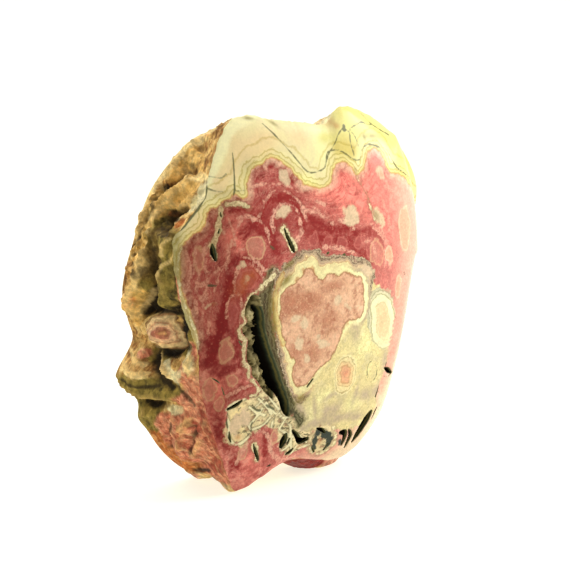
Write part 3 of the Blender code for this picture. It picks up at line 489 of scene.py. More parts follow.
# Drifts of colour with no edge, in the same way
DRIFTS = {
    "wine": (
        (-8.4, 45.8, 3.2, 2.4), (-3.6, 45.6, 2.8, 2.4), (-9, 38.2, 2.8, 2.6), (-3, 49.4, 3, 1),
        (3, 43.4, 2.4, 1.4), (-12.6, 33.4, 1.4, 1.8), (-15, 37, 1, 2.4),
    ),
    "soft": (
        (-20.4, 23.4, 1.2, 3), (-13.4, 22.4, 1.6, 1.4), (-17.6, 15.4, 1.6, 3.4, 15), (-15.4, 9.6, 2, 4, 20),
        (-12.4, 4.6, 2.2, 3, 20), (-8.4, 3.6, 2.6, 2), (-19.4, 20.4, 1, 3), (-4.2, 3.4, 2, 1.6),
        (-11.6, 19.8, 1.6, 0.8, 20), (-14.6, 14, 1, 1.6),
    ),
    "coral": (
        (18, 52, 3, 3.4), (10.4, 50.6, 2.8, 1.6), (16.6, 46.6, 3.2, 3.4, 30), (10.5, 47.6, 4.6, 2.6),
        (22.6, 45.6, 2.6, 3.4), (20.6, 41.2, 1.6, 4), (5, 49.4, 3.4, 1.2), (-9, 5, 2.6, 3, 20),
        (20, 12, 1.6, 3, -15), (22.8, 21.4, 1.2, 2.4), (8.8, 3.8, 1.6, 1.2), (-17.4, 19.6, 2, 2.4),
        (25, 47.2, 2.4, 1.8, -20), (-12.8, 43.8, 2.4, 2.8), (28, 44, 1.4, 3.4), (14.4, 3, 2.4, 0.9, 15),
    ),
    "peach": (
        (-12, 58.6, 2.6, 2.6, 40), (-6, 59, 3.4, 1.8), (-13.6, 54.6, 2.4, 2.6), (-8.6, 57.2, 3.6, 1.4, 10),
        (2, 58.8, 2.6, 2), (-15.6, 52.4, 1.6, 1.6), (-20, 46.8, 2.4, 1.6, 45), (-12.6, 13.4, 2, 3),
        (27, 36, 3, 8), (23, 30, 2, 6),
    ),
    "lemon": (
        (5.8, 56.6, 1.8, 3), (2, 51.6, 2.2, 0.8, -20), (-12, 61.6, 3.2, 0.8, 30),
        (-14.6, 57.6, 1.4, 3, -30), (-4.6, 34.6, 1.6, 3, 20), (-4.8, 29, 1.2, 5), (8, 36.6, 4.6, 0.8, -6),
        (1.8, 38.4, 2.4, 0.8), (14.6, 22.6, 2.6, 3), (2.4, 11.6, 2.4, 2), (5.4, 14.6, 2, 1.2),
        (30, 34, 3, 14), (12, 12, 2, 1.4),
    ),
    "butter": (
        (14.6, 61.2, 5, 2.4), (11.6, 57, 3.4, 2.4), (24, 56, 8, 3.4, -25), (30, 51, 6, 4, -45),
        (19, 59, 4, 2), (7, 58, 1.6, 0.9),
    ),
    "honey": (
        (11.2, 56.4, 1.8, 1.6), (12.6, 55.2, 1, 1.2), (9.6, 56, 1.4, 0.9),
    ),
    "ash": (
        (6.5, 10.8, 0.7, 2.4, 20), (3.4, 12.9, 0.5, 2.4, 10), (7.4, 14.6, 2.6, 0.5, 20),
        (12.6, 13.4, 0.5, 2.2, -20), (7.6, 11.6, 2.2, 1.4, 25), (15.4, 13.2, 2.4, 1.2),
        (12.2, 24.8, 1.2, 2.2), (15.2, 29.6, 0.7, 2.6), (9.4, 10, 3.6, 0.8), (-0.2, 12.4, 0.9, 1.6),
        (-6.8, 16.6, 1.4, 1.6), (-9.6, 12, 1.6, 1.6), (19.8, 18.4, 1, 2.4), (18.8, 13.4, 1.4, 1.4),
        (18.2, 33.2, 2.2, 0.8, -20), (-17, 42.4, 0.9, 1.8), (4, 38.6, 3.4, 0.6, -10),
        (11.4, 36.9, 3.6, 0.6, -16), (-5.2, 37, 0.9, 1.2), (-3.4, 11.4, 1.8, 1.2), (-0.4, 14.6, 1, 1.8, 20),
        (1, 11.8, 1.4, 1.4), (3.2, 10, 2.4, 0.8), (-9.4, 54.6, 2.2, 2), (-14.6, 51, 3, 0.9),
        (0.2, 9, 1.6, 1), (-6.8, 11.2, 1.6, 0.7), (-22.6, 28.4, 1.6, 2.4), (13.4, 9.4, 1.6, 0.6),
    ),
    "olive": (
        (-6.4, 31.6, 0.7, 2.8), (-5.8, 28, 0.5, 2), (-3.4, 35.6, 1.4, 0.6, 30), (0.2, 15, 1.4, 0.7),
        (-7.6, 62.3, 1.4, 0.3, -8), (-3, 61.2, 1.1, 0.3, -35), (18.2, 57.1, 2.6, 0.4, -8),
        (16.2, 57, 0.3, 0.5), (-2.4, 38.3, 1.4, 0.4, 20), (17.3, 43.9, 0.5, 1, 30),
        (-22.6, 31.6, 0.7, 2.4, 20), (-24.4, 44.2, 1.6, 3.6), (-23.2, 48.6, 1.8, 1.4, 40),
        (-24.2, 39.2, 1.2, 2.6), (-25, 41.6, 1.4, 3),
    ),
    "rust": (
        (9, 60.4, 1.1, 0.7, 20), (10.2, 59.6, 0.7, 0.5), (5.4, 6.4, 0.6, 0.8), (-12.4, 10.4, 0.6, 0.5),
        (-17.6, 33.6, 0.4, 0.4), (-12.6, 35.6, 1.8, 1.4, 30), (-10.8, 37.2, 1.6, 1.2), (0.8, 6.4, 0.5, 0.4),
    ),
    "flush": (
        (0, 31.2, 3.8, 1.5), (0.8, 31.6, 3.6, 1.5), (-2.6, 31.6, 1.8, 2.4), (6, 27.6, 2.6, 2),
        (-1.4, 23.6, 1.6, 1.6), (2.4, 22.6, 2.4, 1.8), (7, 33.4, 2.6, 1), (9.4, 24.6, 0.7, 1.2),
    ),
}
# Tints on the left rim, in the same way, with depth Y and height Z
RIM_TINTS = {
    "ochre": (
        (1.7, 48.9, 2.6, 1.6), (-1.6, 49.8, 2.6, 1.2), (3.1, 47.1, 1.2, 1.6), (3.4, 34, 1.4, 1.8),
        (5.2, 32, 1, 2.2), (3.6, 54.6, 2.2, 2.6), (5, 44, 1.4, 2.4), (5.6, 37.6, 1, 3),
        (2.6, 4.6, 3.2, 0.8), (-2, 52.6, 1.8, 2.6), (2.2, 39.6, 0.8, 1.6), (3.8, 40.4, 2.4, 3.2),
        (2.4, 56.6, 2.4, 2.2), (5, 29.8, 1.2, 1.6),
    ),
    "umber": (
        (1, 41.2, 1, 2.6), (0.4, 38.4, 0.9, 2.2), (0.6, 44.4, 2, 0.9), (4.4, 50.8, 1.2, 0.8),
        (2.8, 37.8, 1, 1), (6.2, 45.6, 0.8, 1.6), (3.2, 30.8, 1, 1.2), (-0.2, 27, 0.8, 2),
        (4, 15.4, 2.6, 0.8), (4.8, 42.6, 0.8, 0.8), (3, 36.2, 0.8, 0.8), (5.6, 34.4, 0.6, 1.2),
        (4, 55.6, 0.9, 0.4), (1, 54, 0.7, 0.4), (-3.6, 45.2, 1.6, 0.6), (-2.6, 41, 0.7, 1.6, 20),
    ),
    "olive": (
        (-3.8, 39.1, 2.4, 4.6, 12), (-4.6, 43.4, 2.4, 2), (1.6, 43.8, 4, 1.8), (0.6, 18.7, 6, 1.7, 8),
        (4.2, 17.6, 3, 2.2), (5.9, 14.4, 2.2, 3.4, 20), (1, 24.2, 1.8, 1.6), (0.6, 36.6, 2.4, 4.6, 40),
        (4.4, 46.6, 1.8, 4), (-0.4, 46, 2.4, 1.6), (2.2, 30.4, 1.4, 1.4), (-5.6, 33.6, 1.6, 1.8),
        (6.5, 11.4, 1.6, 2.6), (0.6, 41.6, 2.4, 2), (-1.2, 25.8, 2, 0.8), (-2.9, 33.9, 1.4, 1.6),
        (-5.9, 29, 0.9, 2), (-4.4, 25.6, 1.2, 0.8), (2.4, 24.2, 1, 1.2),
    ),
    "rust": (
        (0.3, 47.4, 0.9, 0.5), (-4.3, 46.8, 0.7, 0.7), (6.4, 4.6, 4, 2.4), (4.8, 34, 1, 2.4, 20),
        (2.6, 59.4, 2.6, 0.4, -10), (3.4, 5, 3.4, 1.6), (7, 8, 1, 2), (0.8, 3.4, 3.6, 1, -10),
        (4.6, 8.6, 1.6, 1.4),
    ),
    # Painted highlight: straw strips along the rim's outer edges and crests, over the crust's own straw
    # colour
    "straw": (
        (7.4, 52, 1.2, 9), (-6.6, 57, 1.4, 6, -14), (4.6, 21, 2.6, 0.5, 8), (-3.4, 53.6, 2, 0.6),
        (6.4, 57.4, 1.6, 1.2), (5.2, 54.6, 0.7, 3, 8), (3.6, 58.6, 1.2, 1.2, 40), (0.8, 60.2, 2, 0.5, -10),
    ),
    "flesh": (
        (4.1, 24.2, 0.8, 0.8), (-2.4, 9, 3.6, 6, 30), (-5.4, 16, 1.6, 7), (-3, 15.4, 1.8, 2.4, 20),
        (1.8, 8.6, 3.2, 3, 30), (-3, 3.6, 3.4, 2.6), (-4.6, 22, 0.9, 1.6), (-1, 12.4, 3, 1.8),
        (-6.2, 26, 0.4, 1.6), (-6.4, 37.4, 0.7, 4), (2.4, 11.6, 1.8, 1.8),
    ),
    "brick": (
        (0.8, 8.6, 3.2, 0.45, 58), (-4.4, 5.8, 1.4, 1.2), (-5.6, 14.4, 0.8, 2.4), (-3.3, 12.7, 1.6, 1, 58),
        (-2.6, 4.6, 2.2, 0.8), (-5.6, 9.6, 0.7, 2.6), (-0.8, 10.6, 2.4, 0.4, 58),
    ),
    "quartz": (
        (-5.8, 51.2, 1, 2.2, -20), (-1.5, 22.6, 1.5, 0.5, 50), (-0.1, 15, 1.6, 0.8), (-5.3, 24.2, 0.9, 2),
        (-4.8, 49.6, 0.9, 1.4, 30), (-3.4, 21.4, 0.6, 1.2, 20), (-2.4, 20.9, 0.5, 1.3),
    ),
    # Painted shade: dark spots in the rim's crevices and hollows and on the knob's shaded side
    "soot": (
        (-2.6, 47.2, 1.4, 0.5), (4.4, 51, 0.9, 0.4, 120), (-4.4, 32.6, 1.4, 0.5), (0.2, 32.4, 2, 0.8),
        (-5.2, 28.4, 0.7, 2.8), (0.4, 22.2, 1.2, 0.8, 50), (0.2, 27, 0.6, 2), (-4.2, 27.6, 0.5, 2, 10),
        (-1.2, 34.6, 1.4, 0.6, 60), (-1.4, 24.6, 1.4, 0.5),
    ),
}
LIP = (6.6, 1.7, 3.2, 2.0, -8)  # the deep red glossy lip on the right foot: X, Z, half sizes, turn
LIP_END_Y, LIP_RUN = 3.5, 3.0

KNOB = (-2.6, 28.8)  # the middle of the pink knob on the left rim, Y and Z
KNOB_SQUEEZE = (1.9, 0.62)  # how closely its rings lie towards the face and towards the back; the tighter rings on the face's side bring its dark outer rings near, a painted shade on that side
KNOB_UPRIGHT = 0.85  # how closely they lie above and below it
BLOB_BEND, BLOB_BEND_SIZE = 0.4, 1.5
GROWTH_LENGTH, GROWTH_SOFTNESS = 24.0, 0.5  # the banding's length from the nodule to the pink's outline

# ---------------------------------------------------------------- colours
STUDIO_LIGHT = 1.02  # the lights brighten colours by this much


def tone(digits):
    """The linear values for shaders of a colour such as "#e2a48e", as seen under the studio's light."""
    linear = []
    for k in (1, 3, 5):
        part = int(digits[k:k + 2], 16) / 255.0
        linear.append(part / 12.92 if part <= 0.04045 else ((part + 0.055) / 1.055) ** 2.4)
    return (*(part / STUDIO_LIGHT for part in linear), 1.0)


COLOURS = {
    "rose": ("Body of the pink bands", "#b25750"),
    "rose_light": ("Lighter pink bands", "#ce7a6c"),
    "rose_dark": ("Darker pink bands", "#903a36"),
    "blood": ("Deep red bands", "#942e2c"),
    "dusk": ("Deepest red", "#902222"),
    "coral": ("Bright coral pink", "#fa8e7e"),
    "blush": ("Pale pink growths", "#d08c76"),
    "chalk": ("Whitish specks", "#dec29e"),
    "cream": ("Cream bands", "#eee0ac"),
    "lemon": ("Pale yellow bands", "#faf3b0"),
    "honey": ("Deeper yellow in the hump", "#d4be68"),
    "butter": ("Yellow of the right hump", "#ded47a"),
    "peach": ("Warm beige bands", "#f0d49e"),
    "ash": ("Grey stain in the cream", "#a09678"),
    "green": ("Thin green-grey lines", "#52563a"),
    "salmon": ("Heart of the round nodule", "#e2b290"),
    "flush": ("Deeper salmon", "#b26a4e"),
    "olive": ("Olive crust", "#807032"),
    "ochre": ("Golden crust", "#e2b462"),
    "rust": ("Rusty crust", "#b8642c"),
    "sand": ("Sandy brown crust", "#cea45e"),
    "umber": ("Dark brown crust", "#644824"),
    "straw": ("Straw yellow crests", "#f4d692"),
    "brick": ("Brick red lines", "#96402e"),
    "quartz": ("Greenish white crystals", "#f0e4b0"),
    # painted shade: the near-black laid in crevices and deep in the openings
    "soot": ("Crevices", "#1a140c"),
    "lump": ("Grey-tan lumps in the cavity", "#94865c"),
    "sulfide": ("Dark metallic grains", "#40463c"),
}


# ---------------------------------------------------------------- shape functions
CURVE_STEPS = 6


def smooth_step(value):
    """0 below 0, 1 above 1, and an S curve between."""
    held = np.clip(value, 0.0, 1.0)
    return held * held * (3.0 - 2.0 * held)


def smooth_path(points, closed=False):
    """Places along a smooth curve through the given ones, back to the first if it is closed."""
    given = np.array(points, float)
    if closed:
        padded = np.vstack((given[-1:], given, given[:2]))
    else:
        padded = np.vstack((2 * given[:1] - given[1:2], given, 2 * given[-1:] - given[-2:-1]))
    t = (np.arange(CURVE_STEPS) / CURVE_STEPS)[:, None]
    made = []
    for before, start, end, after in zip(padded, padded[1:], padded[2:], padded[3:]):
        bend = (end - before) * t + (2 * before - 5 * start + 4 * end - after) * t**2
        made.append(start + 0.5 * (bend + (3 * start - before - 3 * end + after) * t**3))
    made.append(given[:1] if closed else given[-1:])
    return np.vstack(made)


def reach_table(points):
    """Angles around HEART and the outline's radius at each."""
    off = smooth_path(points, closed=True)[:-1] - HEART
    angles = np.arctan2(off[:, 1], off[:, 0])
    order = np.argsort(angles)
    return angles[order], np.hypot(off[:, 0], off[:, 1])[order]


FACE_REACH = reach_table(FACE_OUTLINE)
BACK_REACH = reach_table(BACK_OUTLINE)


def reach(table, angle):
    return np.interp(angle, *table, period=math.tau)


def share_at(shares, angle):
    """Reads a table of shares by degrees at each angle."""
    degrees, values = zip(*sorted(shares.items()))
    return np.interp(np.degrees(angle), degrees, values, period=360.0)


def dome_y(x, z):
    """Depth of the polished dome, before it rolls over the edge."""
    across = np.abs(x - DOME_MIDDLE[0]) / np.where(x < DOME_MIDDLE[0], DOME_LEFT, DOME_RIGHT)
    up = np.abs(z - DOME_MIDDLE[1]) / np.where(z < DOME_MIDDLE[1], DOME_DOWN, DOME_UP)
    left = np.maximum(0.0, 1.0 - across**DOME_POWER - up**DOME_POWER)
    return DOME_FOOT_Y - DOME_RISE * left ** (1.0 / DOME_POWER)


def noise_at(places, size, octaves=3, ridged=False):
    """Fractal noise of about -1 to 1 at each place, for a size in millimetres or one for each axis."""
    scaled = places / np.array(size)
    if ridged:
        return np.array([noise.ridged_multi_fractal(spot, 0.9, 2.0, octaves, 1.0, 2.0) for spot in scaled])
    return np.array([noise.fractal(spot, 0.8, 2.0, octaves) for spot in scaled])


def cell_distance(places, size):
    """Squared distance to the nearest of some scattered points, 0 to 1."""
    near = [noise.voronoi(spot, distance_metric="DISTANCE_SQUARED")[0][0] for spot in places / size]
    return np.minimum(np.array(near), 1.0)


def edge_places(angle):
    """X, depth, Z and radius of the face's edge, with the broken edge's small wanderings."""
    radius = reach(FACE_REACH, angle)
    roll = share_at(ROLL_SHARES, angle)
    plain = np.stack((np.cos(angle) * radius, np.zeros_like(angle), np.sin(angle) * radius), 1)
    radius = radius + EDGE_WANDER * (1.0 - roll) * noise_at(plain, EDGE_WANDER_SIZE)
    x = HEART[0] + radius * np.cos(angle)
    z = HEART[1] + radius * np.sin(angle)
    flat = dome_y(x, z)
    return x, flat + roll * np.maximum(0.0, ROLL_EDGE_Y - flat), z, radius


def face_places(angle, share):
    """Places on the polished face, at shares of the way from HEART to its edge."""
    edge_x, edge_y, edge_z, edge_radius = edge_places(angle)
    plain = reach(FACE_REACH, angle)
    radius = (plain + (edge_radius - plain) * share**EDGE_BLEND) * share
    x = HEART[0] + radius * np.cos(angle)
    z = HEART[1] + radius * np.sin(angle)
    beyond = np.clip((share - ROLL_START) / (1.0 - ROLL_START), 0.0, 1.0)
    turned = 1.0 - np.sqrt(1.0 - beyond * beyond)
    return np.stack((x, dome_y(x, z) + turned * (edge_y - dome_y(edge_x, edge_z)), z), 1)


def off_form(form, a, b):
    """How far places are from a form's middle, as a share of its half sizes."""
    middle_a, middle_b, half_length, half_width = form[:4]
    turn = form[4] if len(form) > 4 else 0.0
    cos, sin = math.cos(math.radians(turn)), math.sin(math.radians(turn))
    along = ((a - middle_a) * cos + (b - middle_b) * sin) / half_length
    across = ((b - middle_b) * cos - (a - middle_a) * sin) / half_width
    return np.sqrt(along * along + across * across)


def form_height(forms, a, b):
    """How far the listed forms stand out together at each place."""
    height = np.zeros_like(a)
    for form in forms:
        off = off_form(form, a, b)
        height += np.where(off < FORM_REACH, form[5] * np.exp(-FORM_FALL * off * off), 0.0)
    return height


def left_share(x, z):
    """1 on the left rim, 0 on the rest."""
    return smooth_step((LEFT_START_X - x) / LEFT_RUN) * smooth_step(z / LEFT_FOOT_RUN)


def path_distance(x, z, path):
    """Distance from each place to a path, less the path's half width where it has one."""
    best = np.full(x.shape, 1e6)
    for start, end in zip(path, path[1:]):
        run = end[:2] - start[:2]
        t = np.clip(((x - start[0]) * run[0] + (z - start[1]) * run[1]) / max(run @ run, 1e-9), 0.0, 1.0)
        off = np.hypot(x - start[0] - t * run[0], z - start[1] - t * run[1])
        if len(start) > 2:
            off = off - start[2] - t * (end[2] - start[2])
        best = np.minimum(best, off)
    return best


def rim_line_distances(y, z):
    """Distances to the nearest crevice, crest, seam and ridge of the left rim."""
    return [np.min([path_distance(y, z, smooth_path(path)) for path in paths], axis=0)
            for paths in (GROOVES, CRESTS, SEAMS, RIDGES)]


def rim_relief(places, depth):
    """How far the rough rim stands out at each place, and the share of it that the crust's painted shade and
    highlight follow.
    """
    x, y, z = places.T
    left = left_share(x, z)
    under = smooth_step((UNDERSIDE_TOP_Z - z) / UNDERSIDE_RUN)
    plain = (1.0 - left) * (1.0 - under)
    broad = -KNOB_VALLEY * cell_distance(places, KNOB_SPACING) * plain
    broad += GRIT_HEIGHT * noise_at(places, GRIT_SIZE)
    broad += left * form_height(RIM_FORMS, y, z) + under * form_height(UNDERSIDE_FORMS, x, y)
    fine = -SMALL_KNOB_VALLEY * cell_distance(places, SMALL_KNOBS) * (plain + SMALL_KNOBS_LEFT * left)
    fine += left * form_height(FINE_FORMS, y, z)
    calm_top = 1.0 - CALM_TOP_SHARE * left * smooth_step((z - CALM_TOP_Z) / CALM_TOP_RUN)
    layered = LAYER_HEIGHT * (LAYERS_RIGHT + (1.0 - LAYERS_RIGHT) * left) * calm_top
    fine += layered * (noise_at(places, LAYER_SIZE, ridged=True) - 1.0)
    fine += CHIP_HEIGHT * noise_at(places, CHIP_SIZE)
    groove, crest, seam, ridge = rim_line_distances(y, z)
    fine -= left * GROOVE_DEPTH * np.exp(-np.maximum(groove, 0.0) ** 2 / RIM_LINE_WIDTH**2)
    fine += left * CREST_HEIGHT * np.exp(-np.maximum(crest, 0.0) ** 2 / RIM_LINE_WIDTH**2)
    fine -= left * SEAM_DEPTH * np.exp(-seam**2 / SEAM_WIDTH**2)
    fine += left * RIDGE_HEIGHT * np.exp(-ridge**2 / SEAM_WIDTH**2)
    fade = smooth_step(depth / FRONT_FADE) * smooth_step((1.0 - depth) / BACK_FADE)
    fine_fade = smooth_step(depth / FINE_FADE) * smooth_step((1.0 - depth) / FINE_FADE)
    fine = fine_fade * (1.0 - UNDERSIDE_CALM * under) * fine
    return fade * broad + fine, fine + BROAD_SHOWN * fade * broad


def rim_places(angle, depth):
    """Places on the rim at shares of the way from the face's edge to the saw cut, and their relief."""
    _, edge_y, _, front = edge_places(angle)
    fall = share_at(TOP_FALL_SHARES, angle)
    eased = depth + fall * (np.sin(depth * np.pi / 2.0) - depth)
    radius = front + (reach(BACK_REACH, angle) - front) * eased + RIM_BELLY * np.sin(np.pi * depth)
    out = np.stack((np.cos(angle), np.zeros_like(angle), np.sin(angle)), 1)
    plain = out * radius[:, None] + (HEART[0], 0.0, HEART[1])
    plain[:, 1] = edge_y + (BACK_Y - edge_y) * depth
    relief, shown = rim_relief(plain, depth)
    return plain + out * relief[:, None], shown


def back_places(angle, share):
    """Places on the saw cut, with the blade's faint ripple."""
    radius = reach(BACK_REACH, angle) * share
    x = HEART[0] + radius * np.cos(angle)
    z = HEART[1] + radius * np.sin(angle)
    ripple = 0.5 - 0.5 * np.cos(math.tau * (z + SAW_SLANT * x + SAW_ARC * x * x) / SAW_SPACING)
    return np.stack((x, BACK_Y - SAW_RIPPLE * ripple * smooth_step((1.0 - share) * SAW_EDGE), z), 1)


def area_distance(x, z, outline):
    """Distance from each place to a closed outline, negative inside it."""
    path = smooth_path(outline, closed=True)
    inside = np.zeros(x.shape, bool)
    for start, end in zip(path, path[1:]):
        rise = end[1] - start[1]
        if abs(rise) > 1e-9:
            crossing = start[0] + (z - start[1]) * (end[0] - start[0]) / rise
            inside ^= ((start[1] > z) != (end[1] > z)) & (x < crossing)
    off = path_distance(x, z, path)
    return np.where(inside, -off, off)


def mouth_distance(x, z):
    """Distance to the nearest opening's edge in the face, negative inside."""
    best = path_distance(x, z, smooth_path(CAVITY))
    for _, path in SLOTS:
        best = np.minimum(best, path_distance(x, z, smooth_path(path)))
    return np.minimum(best, area_distance(x, z, LEDGE))


def opening_depth(x, z):
    """How deep the openings go at each place, how deep their painted shade makes them look, and how much of
    it is lump.
    """
    ledge = LEDGE_DEPTH * smooth_step(-area_distance(x, z, LEDGE) / LEDGE_RUN)
    hole = CAVITY_DEPTH * smooth_step(-path_distance(x, z, smooth_path(CAVITY)) / CAVITY_RUN)
    depth = np.maximum(ledge, hole)
    lump = np.zeros_like(x)
    places = np.stack((x, np.zeros_like(x), z), 1)
    bent_x = x + LUMP_BEND * noise_at(places, LUMP_BEND_SIZE)
    bent_z = z + LUMP_BEND * noise_at(places + NOISE_SHIFT, LUMP_BEND_SIZE)
    for lump_x, lump_z, radius in LUMPS:
        off = np.hypot(bent_x - lump_x, bent_z - lump_z)
        top = LEDGE_DEPTH - LUMP_HEIGHT * np.sqrt(np.maximum(radius * radius - off * off, 0.0))
        on = (off < radius) & (depth > LUMP_FLOOR)
        depth = np.where(on, np.minimum(depth, np.maximum(top, LUMP_TOP)), depth)
        lump = np.where(on, 1.0, lump)
    dark = depth.copy()
    for deepest, path in SLOTS:
        share = smooth_step(-path_distance(x, z, smooth_path(path)) / SLOT_RUN)
        depth = np.maximum(depth, deepest * share)
        dark = np.maximum(dark, DARK_DEPTH * share)
    return depth, dark, np.maximum(lump, smooth_step(ledge / LEDGE_DEPTH) * (hole < HOLE_BARE))


# ---------------------------------------------------------------- fields kept on the mesh
def stone_fields(places):
    """Named numbers for every vertex: distances to bands in millimetres and strengths of tints."""
    x, y, z = places.T
    fields = {}
    for name, outline in AREAS.items():
        fields[name] = area_distance(x, z, outline)
    bent_x = x + BLOB_BEND * noise_at(places, BLOB_BEND_SIZE, 2)
    bent_z = z + BLOB_BEND * noise_at(places + NOISE_SHIFT, BLOB_BEND_SIZE, 2)
    for name, forms in BLOBS.items():
        off = [(off_form(form, bent_x, bent_z) - 1.0) * min(form[2:4]) for form in forms]
        fields[name] = np.min(off, axis=0)
    for name, paths in PATHS.items():
        off = [path_distance(x, z, smooth_path(path)) - half for half, path in paths]
        fields[name] = np.min(off, axis=0)
    for name, forms in DRIFTS.items():
        fields["drift_" + name] = np.minimum(1.0, sum(np.exp(-(off_form(form, x, z) ** 2)) for form in forms))
    left = left_share(x, z)
    for name, forms in RIM_TINTS.items():
        tint = sum(np.exp(-(off_form(form, y, z) ** 2)) for form in forms)
        fields["tint_" + name] = left * np.minimum(1.0, tint)
    fields["left"] = left
    fields.update(zip(("groove", "crest", "seam", "ridge"), rim_line_distances(y, z)))
    across = (y - KNOB[0]) * np.where(y < KNOB[0], *KNOB_SQUEEZE)
    fields["knob"] = np.hypot(across, KNOB_UPRIGHT * (z - KNOB[1]))
    fields["lip"] = np.exp(-(off_form(LIP, x, z) ** 2)) * smooth_step((LIP_END_Y - y) / LIP_RUN)
    outer = np.maximum(-fields["pink"], 0.0)
    inner = np.maximum(fields["nodule"], 0.0)
    fields["growth"] = GROWTH_LENGTH * outer / (outer + inner + GROWTH_SOFTNESS)
    return fields


# ---------------------------------------------------------------- the mesh
FACE, RIM, BACK = 0, 1, 2  # material places of the three surfaces
REFINE_OUT, REFINE_IN = 0.3, 1.0  # millimetres outside and inside a mouth that get finer cells
MOST_VERTS = 200000
BACK_SHARE = 0.985  # the saw cut's sheet ends here, and a strip of faces joins it to the rim
SHARP_ANGLE = math.radians(62.0)
# where each surface lies in the bake map: left, width, bottom, height
BAKE_BOXES = {FACE: (0.01, 0.68, 0.01, 0.70), RIM: (0.005, 0.98, 0.74, 0.25), BACK: (0.71, 0.28, 0.01, 0.30)}


def disc_polar(verts):
    """Angle and share of the way out for vertices of a square sheet, rounded into a disc."""
    u, v = np.array([vert.co[:2] for vert in verts]).T
    x = u * np.sqrt(1.0 - v * v / 2.0)
    z = v * np.sqrt(1.0 - u * u / 2.0)
    far = np.minimum(np.hypot(x, z), 1.0)
    angle = np.arctan2(z, x)
    return angle + LEFT_CROWDING * far * np.sin(angle), far


def put(verts, places):
    for vert, place in zip(verts, places):
        vert.co = place


def boundary(bm):
    """The open edges."""
    return [edge for edge in bm.edges if edge.is_boundary]


def make_stone(sizes):
    """The closed stone as a bmesh in drawing millimetres, with the vertices' relief on the rim."""
    bm = bmesh.new()
    relief_layer = bm.verts.layers.float.new("relief")
    bmesh.ops.create_grid(bm, x_segments=sizes.face_cells, y_segments=sizes.face_cells, size=1.0)
    face_verts = list(bm.verts)
    angles, far = disc_polar(face_verts)
    crowded = far + EDGE_CROWDING * (np.sin(far * np.pi / 2.0) - far)
    put(face_verts, face_places(angles, crowded))
    angle_of = dict(zip(face_verts, angles))
    ring = boundary(bm)
    for row in range(1, sizes.rim_rows + 1):
        marks = {vert.co.copy().freeze(): angle_of[vert] for edge in ring for vert in edge.verts}
        made = bmesh.ops.extrude_edge_only(bm, edges=ring)["geom"]
        verts = [item for item in made if isinstance(item, bmesh.types.BMVert)]
        for item in made:
            if isinstance(item, bmesh.types.BMFace):
                item.material_index = RIM
        row_angles = np.array([marks[vert.co.copy().freeze()] for vert in verts])
        places, relief = rim_places(row_angles, np.full(len(verts), row / sizes.rim_rows))
        put(verts, places)
        for vert, angle, height in zip(verts, row_angles, relief):
            vert[relief_layer] = height
            angle_of[vert] = angle
        ring = [item for item in made if isinstance(item, bmesh.types.BMEdge) and item.is_boundary]
    cells = sizes.back_cells
    back = bmesh.ops.create_grid(bm, x_segments=cells, y_segments=cells, size=1.0)["verts"]
    back_angles, back_far = disc_polar(back)
    put(back, back_places(back_angles, back_far * BACK_SHARE))
    back_faces = {face for vert in back for face in vert.link_faces}
    bridge = bmesh.ops.bridge_loops(bm, edges=boundary(bm))["faces"]
    for face in [*back_faces, *bridge]:
        face.material_index = BACK
    for vert in bm.verts:
        vert.co.z = max(0.0, vert.co.z)
    return bm


def open_mouths(bm):
    """Cuts the openings into the polished face, in cells made finer along their edges."""
    verts = [vert for vert in bm.verts if any(face.material_index == FACE for face in vert.link_faces)]
    x, z = np.array([(vert.co.x, vert.co.z) for vert in verts]).T
    off = mouth_distance(x, z)
    near = {vert for vert, far in zip(verts, off) if -REFINE_IN < far < REFINE_OUT}
    edges = [edge for edge in bm.edges if edge.verts[0] in near and edge.verts[1] in near]
    bmesh.ops.subdivide_edges(bm, edges=edges, cuts=1, use_grid_fill=True)
    depth_layer = bm.verts.layers.float.new("depth")
    lump_layer = bm.verts.layers.float.new("lump")
    verts = [vert for vert in bm.verts if all(face.material_index == FACE for face in vert.link_faces)]
    places = np.array([vert.co for vert in verts])
    depth, dark, lump = opening_depth(places[:, 0], places[:, 2])
    rough = WALL_BUMP * noise_at(places, WALL_BUMP_SIZE) * smooth_step(depth / WALL_BUMP_DEPTH)
    for vert, deep, looks, on, bump in zip(verts, depth, dark, lump, rough):
        vert.co.y += deep + bump
        # the depth field holds how deep a place is painted to look, which the painted shade in the openings
        # follows
        vert[depth_layer] = looks
        vert[lump_layer] = on


def lay_out_bake_map(mesh):
    """A flat layout for baking: the face gets most of it, the rim is a strip and the back is small."""
    layer = mesh.uv_layers.new(name="OFBake")
    places = np.array([vert.co for vert in mesh.vertices]) / MM + ORIGIN
    low, high = places.min(axis=0), places.max(axis=0)
    across, deep, up = ((places - low) / (high - low)).T
    turn = np.arctan2(places[:, 2] - HEART[1], places[:, 0] - HEART[0]) / math.tau + 0.5
    for face in mesh.polygons:
        corners = list(face.vertices)
        left, width, bottom, height = BAKE_BOXES[face.material_index]
        if face.material_index == RIM:
            sideways, upward = turn[corners], deep[corners]
            if sideways.max() - sideways.min() > 0.5:
                sideways = np.where(sideways < 0.5, sideways + 1.0, sideways)
        else:
            sideways, upward = across[corners], up[corners]
        for loop, a, b in zip(face.loop_indices, sideways, upward):
            layer.data[loop].uv = (left + width * a, bottom + height * b)


def corner_key(face):
    """A number that no other face has, from its three lowest corners."""
    low, middle, high = sorted(vert.index for vert in face.verts)[:3]
    return (low * MOST_VERTS + middle) * MOST_VERTS + high


